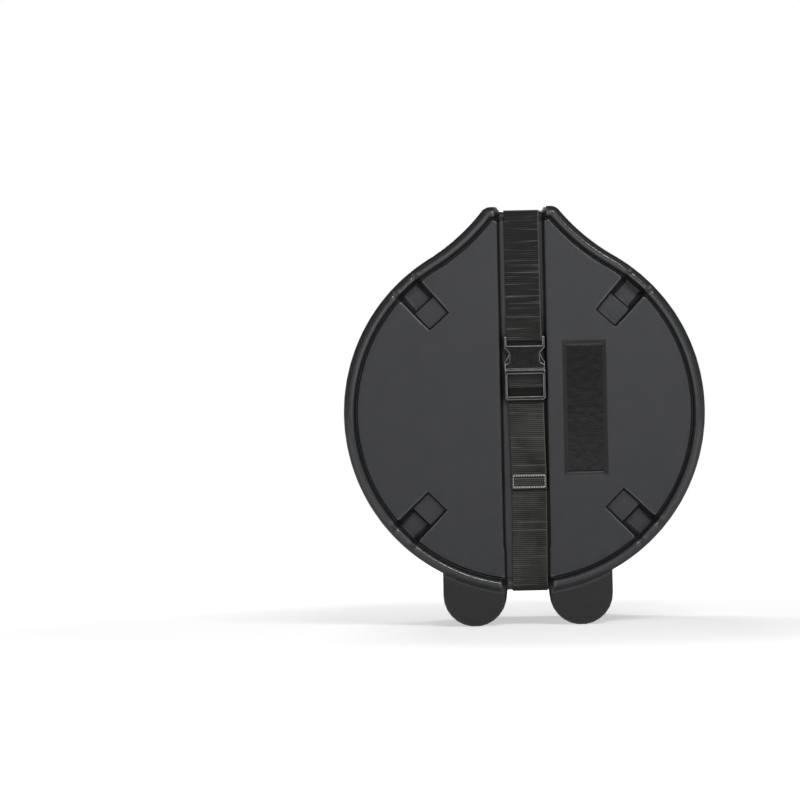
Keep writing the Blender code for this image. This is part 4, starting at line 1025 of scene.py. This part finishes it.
# %% Lay the long run round the case
turn_front = turn_low.y + half_web
turn_top = turn_high.z - half_web
turn_radius = (FRONT - turn_front) / 2
TURN_RUN, TURN_SETTLE = 6 * MM, 12 * MM
split_top = top_low.z
rim_back = RIM + STEP_LENGTH
round_route = [
    (Vector((FRONT, split_top)), 0), (Vector((FRONT, TOP)), CHANNEL_BEND),
    (Vector((RIM, TOP)), EASY_BEND), (Vector((rim_back, TOP - RIM_STEP)), EASY_BEND),
    (Vector((BACK, TOP - RIM_STEP)), CHANNEL_BEND),
    (Vector((BACK, UNDER + RIM_STEP)), CHANNEL_BEND),
    (Vector((rim_back, UNDER + RIM_STEP)), EASY_BEND), (Vector((RIM, UNDER)), EASY_BEND),
    (Vector((FRONT, UNDER)), CHANNEL_BEND), (Vector((FRONT, turn_top)), turn_radius),
    (Vector((turn_front, turn_top)), turn_radius),
    (Vector((turn_front, turn_top - TURN_RUN)), EASY_BEND),
    (Vector((LYING, turn_top - TURN_SETTLE)), EASY_BEND), (Vector((LYING, turn_low.z)), 0)]
strap_round, strap_end = woven_strip("strap_round_case", bent_line(round_route))
hand_over(strap_round, webbing,
          ["web_base", "web_lid_top", "web_lid_lower", "web_adjuster_turn"])
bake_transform(strap_round)

# %% Lay the upper run and its sewn loop
loop_front = loop_low.y + half_web
loop_bottom = loop_low.z + half_web
loop_radius = (FRONT - loop_front) / 2
LOOP_RUN, LOOP_SETTLE = 9 * MM, 16 * MM
loop_route = [
    (Vector((FRONT, split_top)), 0), (Vector((FRONT, loop_bottom)), loop_radius),
    (Vector((loop_front, loop_bottom)), loop_radius),
    (Vector((loop_front, loop_bottom + LOOP_RUN)), EASY_BEND),
    (Vector((LYING, loop_bottom + LOOP_SETTLE)), EASY_BEND),
    (Vector((LYING, loop_high.z)), 0)]
strap_upper, _ = woven_strip("strap_upper_run", bent_line(loop_route))
hand_over(strap_upper, webbing, ["web_front_upper", "web_loop"])
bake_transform(strap_upper)

# %% Lay the tail and its folded hem
hem_outer = hem_low.y + half_web
hem_bottom = hem_low.z + half_web
fold_radius = (LYING - hem_outer) / 2
tail_route = [
    (Vector((LYING, turn_low.z)), 0), (Vector((LYING, hem_bottom)), fold_radius),
    (Vector((hem_outer, hem_bottom)), fold_radius), (Vector((hem_outer, hem_high.z)), 0)]
strap_tail, _ = woven_strip("strap_tail", bent_line(tail_route), strap_end)
hand_over(strap_tail, webbing, ["web_tail", "web_tail_hem"])
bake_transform(strap_tail)

# %% [markdown]
# ## Sewing
#
# A lockstitch shows as a row of short, plump stitches with small gaps, each end pulled down
# into the webbing. The hem is held by a box of pale stitches, the one bright thing on the
# case, with two rows along its top and bottom. The sewn end above the buckle has a box of black
# ones. Each stitch is a small closed capsule, laid along the sides of the box by a loop.

# %% Shape one stitch
THREAD_RADIUS = 0.55 * MM
STITCH_RINGS = 6
THREAD_SIDES = 8
STITCH_END_SHARE = 0.25
STITCH_SINK = 0.55


def add_stitch(shape, start, end, surface_y):
    """Adds one capsule that bulges out of the webbing between two x, z points."""
    rings = []
    run = end - start
    side = Vector((-run.y, run.x)).normalized()
    for number in range(STITCH_RINGS + 1):
        share = number / STITCH_RINGS
        # The thread is plump in the middle and dives into the webbing at its ends.
        swell = math.sqrt(max(0.0, 1 - (2 * share - 1) ** 4))
        place = start + run * share
        radius = THREAD_RADIUS * (STITCH_END_SHARE + (1 - STITCH_END_SHARE) * swell)
        depth = surface_y - THREAD_RADIUS * (swell - STITCH_SINK)
        ring = []
        for step in range(THREAD_SIDES):
            turn = 2 * math.pi * step / THREAD_SIDES
            shift = side * (radius * math.cos(turn))
            ring.append(shape.verts.new((place.x + shift.x, depth - radius * math.sin(turn),
                                         place.y + shift.y)))
        rings.append(ring)
    for low, high in zip(rings, rings[1:]):
        for step in range(THREAD_SIDES):
            beside = (step + 1) % THREAD_SIDES
            shape.faces.new([low[step], low[beside], high[beside], high[step]])
    shape.faces.new(list(reversed(rings[0])))
    shape.faces.new(rings[-1])


print("the thread is", round(2 * THREAD_RADIUS / MM, 1), "mm thick")

# %% Sew round a box
STITCH_LENGTH = 3.0 * MM
STITCH_GAP = 0.5 * MM
ROW_STEP = 1.3 * MM


def sewn_box(name, low, high, surface_y, double):
    """Stitches round a box between two x, z corners, with double rows on its long sides."""
    shape = bmesh.new()
    corners = [Vector(low), Vector((high[0], low[1])), Vector(high), Vector((low[0], high[1]))]
    sides = list(zip(corners, corners[1:] + corners[:1]))
    if double:
        step = Vector((0, ROW_STEP))
        sides += [(corners[0] + step, corners[1] + step), (corners[3] - step, corners[2] - step)]
    for start, end in sides:
        run = end - start
        count = max(1, round(run.length / (STITCH_LENGTH + STITCH_GAP)))
        gap = run.normalized() * (STITCH_GAP / 2)
        for number in range(count):
            add_stitch(shape, start + run * (number / count) + gap,
                       start + run * ((number + 1) / count) - gap, surface_y)
    bmesh.ops.recalc_face_normals(shape, faces=shape.faces)
    mesh = bpy.data.meshes.new(name)
    shape.to_mesh(mesh)
    shape.free()
    mesh.shade_smooth()
    item = bpy.data.objects.new(name, mesh)
    bpy.context.scene.collection.objects.link(item)
    return item


print("a stitch comes every", round((STITCH_LENGTH + STITCH_GAP) / MM, 1), "mm")

# %% Sew the hem and the loop
SEWN_HALF_WIDTH = 22.8 * MM
HEM_SEWN = (hem_low.z + 3 * MM, hem_high.z - 5 * MM)
LOOP_SEWN = (loop_high.z - 16 * MM, loop_high.z - 3 * MM)
for name, (low_z, high_z), face_y, thread, body, double in (
        ("hem_stitching", HEM_SEWN, hem_low.y, pale_thread, "tail", True),
        ("loop_stitching", LOOP_SEWN, LYING - half_web, dark_thread, "socket", False)):
    aside = drift(face_y, (low_z + high_z) / 2)
    sewn = sewn_box(name, (aside - SEWN_HALF_WIDTH, low_z), (aside + SEWN_HALF_WIDTH, high_z),
                    face_y, double)
    hand_over(sewn, thread, body=body)

# %% [markdown]
# ## The side-release buckle
#
# Injection moulding holds edges of half a millimetre, so the same voxel method works at a
# finer grain. The socket's front is crowned across its width, which gives its long
# highlight, and so are the plug's bars. The prongs keep their shoulders, with small ridges
# where the fingers squeeze.

# %% Mould the buckle
BUCKLE_VOXEL, BUCKLE_ROUNDS, BUCKLE_KEPT_SHARE = 0.4 * MM, 5, 0.5
PRONG_VOXEL, PRONG_ROUNDS, PRONG_KEPT_SHARE = 0.3 * MM, 2, 0.6
CROWN = 1.1 * MM


def crown_front(piece, half_width, rise):
    """Bows the front of a flat moulding across its width, and leaves its back flat."""
    low_y = min(vertex.co.y for vertex in piece.data.vertices)
    high_y = max(vertex.co.y for vertex in piece.data.vertices)
    for vertex in piece.data.vertices:
        front = (high_y - vertex.co.y) / (high_y - low_y)
        vertex.co.y += rise * front * (vertex.co.x / half_width) ** 2


def lie_on_strap(points):
    """Moves a buckle's moulding aside by as much as the strap that it is threaded on."""
    points[:, 0] += drift(LID_FACE_Y, points[:, 2].mean())
    return points


for half, body in (("socket", "socket"), ("plug", "lid")):
    moulding = moulded_copy(f"buckle_{half}_moulding", f"buckle_{half}", BUCKLE_VOXEL,
                            BUCKLE_ROUNDS, BUCKLE_KEPT_SHARE, lie_on_strap)
    crown_front(moulding, socket_high.x, CROWN)
    hand_over(moulding, acetal, [f"buckle_{half}"], body)
for side in ("left", "right"):
    prong = moulded_copy(f"prong_{side}_moulding", f"buckle_prong_{side}", PRONG_VOXEL,
                         PRONG_ROUNDS, PRONG_KEPT_SHARE, lie_on_strap)
    hand_over(prong, acetal, [f"buckle_prong_{side}"], f"prong_{side}")

# %% [markdown]
# ## The handle
#
# The grip is vinyl rubber moulded over a steel core. It swells a little in the middle and its
# edges are fully round. It lies flat on the case and turns up on two pins.

# %% Mould the grip
GRIP_VOXEL, GRIP_ROUNDS, GRIP_KEPT_SHARE = 0.8 * MM, 5, 0.5
GRIP_SWELL = 0.9 * MM
grip = moulded_copy("handle_grip_moulding", "handle_grip", GRIP_VOXEL, GRIP_ROUNDS,
                    GRIP_KEPT_SHARE)
grip_low, grip_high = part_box("handle_grip")
grip_middle = (grip_low.z + grip_high.z) / 2
for vertex in grip.data.vertices:
    share = max(0.0, 1 - (vertex.co.x / grip_high.x) ** 2)
    vertex.co.z -= GRIP_SWELL * (1 - share) * (1 if vertex.co.z > grip_middle else -1)
hand_over(grip, vinyl, ["handle_grip"], "handle")

# %% [markdown]
# ### Brackets, pins and rivets
#
# The brackets are bent from steel strip, and the pins and rivets are turned and headed, so
# the crisp faces that the working model gives them are right. A new mesh would add nothing.
# Only the blackened finish goes on, into the material slot of each.

# %% Finish the brackets, pins and rivets
for side in ("left", "right"):
    for node in (f"handle_bracket_{side}", f"handle_pin_{side}",
                 f"handle_rivet_{side}_front", f"handle_rivet_{side}_rear"):
        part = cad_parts[node]
        part.data.materials.clear()
        part.data.materials.append(steel)
print("blackened the brackets, pins and rivets")

# %% [markdown]
# ## The foam pads
#
# Closed-cell foam is cut from sheet with a knife, so its edges are nearly square, but it
# gives where it is handled. The copies round their edges only a little.

# %% Cut the pads
PAD_VOXEL, PAD_ROUNDS, PAD_KEPT_SHARE = 1.5 * MM, 3, 0.3
PAD_NODES = [f"base_floor_pad_{side}" for side in ("left", "right")]
PAD_NODES += [f"base_cradle_pad_{number}" for number in range(1, 5)]
PAD_NODES += [f"lid_pad_{side}" for side in ("left", "right")]
PAD_NODES += [f"lid_hoop_pad_{number}" for number in range(1, 5)]
for node in PAD_NODES:
    pad = moulded_copy(node + "_foam", node, PAD_VOXEL, PAD_ROUNDS, PAD_KEPT_SHARE)
    hand_over(pad, foam, [node], node.split("_")[0])

# %% [markdown]
# ## The paper floor
#
# The photograph is a cut-out on white, so the floor is white to the camera and in glossy
# reflections. Plain white paper would light the dark case from below, so for all other rays
# it is grey. It glows a little by itself, more so further out, which hides its far edge but
# keeps the shadow under the case.

# %% Lay the floor
FLOOR_SIZE = 60.0

floor_mesh = bpy.data.meshes.new("floor")
half_floor = FLOOR_SIZE / 2
floor_mesh.from_pydata([(-half_floor, -half_floor, 0), (half_floor, -half_floor, 0),
                        (half_floor, half_floor, 0), (-half_floor, half_floor, 0)],
                       [], [(0, 1, 2, 3)])
floor = bpy.data.objects.new("floor", floor_mesh)
bpy.context.scene.collection.objects.link(floor)
print("the floor is", FLOOR_SIZE, "m wide")

# %% Make the floor's paper
NEAR_LIFT, FAR_LIFT = 0.55, 1.0
WHITE_FROM, WHITE_BY = 0.7, 2.2

paper, tree, shader = new_material("white_paper", {
    "Roughness": 0.9, "Specular IOR Level": 0.0, "Emission Color": linear("#ffffff")})


def seen_directly(tree):
    """A factor of 1 for rays from the camera and for those that glossy and clear things send."""
    path = add_node(tree, "LightPath").outputs
    either = add_node(tree, "Math", {"operation": "MAXIMUM"}, {0: path["Is Camera Ray"],
                                                              1: path["Is Glossy Ray"]})
    return add_node(tree, "Math", {"operation": "MAXIMUM"},
                    {0: either.outputs[0], 1: path["Is Transmission Ray"]}).outputs[0]


floor_place = add_node(tree, "NewGeometry").outputs["Position"]
distance = add_node(tree, "VectorMath", {"operation": "LENGTH"}, {0: floor_place})
rise = add_node(tree, "MapRange", {"From Min": WHITE_FROM, "From Max": WHITE_BY,
                                   "To Min": NEAR_LIFT, "To Max": FAR_LIFT},
                {"Value": distance.outputs["Value"]})
lift = add_node(tree, "Math", {"operation": "MULTIPLY"},
                {0: seen_directly(tree), 1: rise.outputs["Result"]})
tree.links.new(lift.outputs[0], shader.inputs["Emission Strength"])
tone = add_node(tree, "Mix", {
    "data_type": "RGBA", COLOUR_A: linear("#808080"), COLOUR_B: linear("#e6e6e6")},
    {FACTOR: seen_directly(tree)})
tree.links.new(tone.outputs[COLOUR_OUT], shader.inputs["Base Color"])
floor_mesh.materials.append(paper)
print("the paper is fully white from", WHITE_BY, "m on")

# %% [markdown]
# ## The world
#
# The world is white to the camera, but it lights the case only faintly. Glossy faces mirror
# it as a real studio: the white backdrop behind the case, and the dark room behind the
# camera.

# %% Surround the case
WORLD_LEVEL = 0.05
ROOM_LEVEL = 0.06
ROOM_END, BACKDROP_START = 0.1, 0.85

world = bpy.data.worlds.new("studio")
world.use_nodes = True
bpy.context.scene.world = world
tree = world.node_tree
background = tree.nodes["Background"]
background.inputs["Color"].default_value = linear("#ffffff")
way = add_node(tree, "TexCoord").outputs["Generated"]
way_parts = add_node(tree, "SeparateXYZ", links={"Vector": way})
mirrored = add_node(tree, "MapRange", {"From Min": ROOM_END, "From Max": BACKDROP_START,
                                       "To Min": ROOM_LEVEL, "To Max": 1.0},
                    {"Value": way_parts.outputs["Y"]})
path = add_node(tree, "LightPath").outputs
white = add_node(tree, "Math", {"operation": "MAXIMUM"},
                 {0: path["Is Camera Ray"], 1: path["Is Transmission Ray"]})
unlit = add_node(tree, "Mix", {"data_type": "FLOAT", NUMBER_A: WORLD_LEVEL},
                 {FACTOR: path["Is Glossy Ray"], NUMBER_B: mirrored.outputs["Result"]})
level = add_node(tree, "Mix", {"data_type": "FLOAT", NUMBER_B: 1.0},
                 {FACTOR: white.outputs[0], NUMBER_A: unlit.outputs[NUMBER_OUT]})
tree.links.new(level.outputs[NUMBER_OUT], background.inputs["Strength"])
print("the world lights the case at", WORLD_LEVEL)

# %% [markdown]
# ## The lamps
#
# One soft lamp hangs high in front, a little to the right, as the light streaks on both
# shoulders show: from there it reaches the flat faces and leaves the steep walls dark. It is
# wide and low, so its streaks are narrow. A weak lamp fills the front, two thin upright ones
# draw the light lines on the buckle's sides, and one more lights the back of the case as the
# first lights the front.

# %% Hang the lamps
def add_lamp(name, place, width, height, power):
    """A soft lamp with an oblong front that faces the middle of the case."""
    lamp = bpy.data.lights.new(name, "AREA")
    lamp.shape = "RECTANGLE"
    lamp.size = width
    lamp.size_y = height
    lamp.energy = power
    item = bpy.data.objects.new(name, lamp)
    bpy.context.scene.collection.objects.link(item)
    item.location = place
    way = Vector((0, 0, BODY_CENTRE_HEIGHT)) - item.location
    item.rotation_euler = way.to_track_quat("-Z", "Y").to_euler()
    return item


add_lamp("key_lamp", (0.8, -3.2, 2.6), width=1.6, height=0.4, power=66)
add_lamp("fill_lamp", (-0.4, -4.2, 1.9), width=1.2, height=1.2, power=8)
add_lamp("left_strip", (-2.5, -2.9, 1.1), width=0.25, height=1.6, power=6)
add_lamp("right_strip", (2.5, -2.9, 1.1), width=0.25, height=1.6, power=6)
add_lamp("rear_lamp", (-0.8, 3.3, 2.5), width=1.6, height=0.4, power=74)
bpy.context.scene.view_settings.view_transform = "Standard"
print("the studio has", len(bpy.data.lights), "lamps")
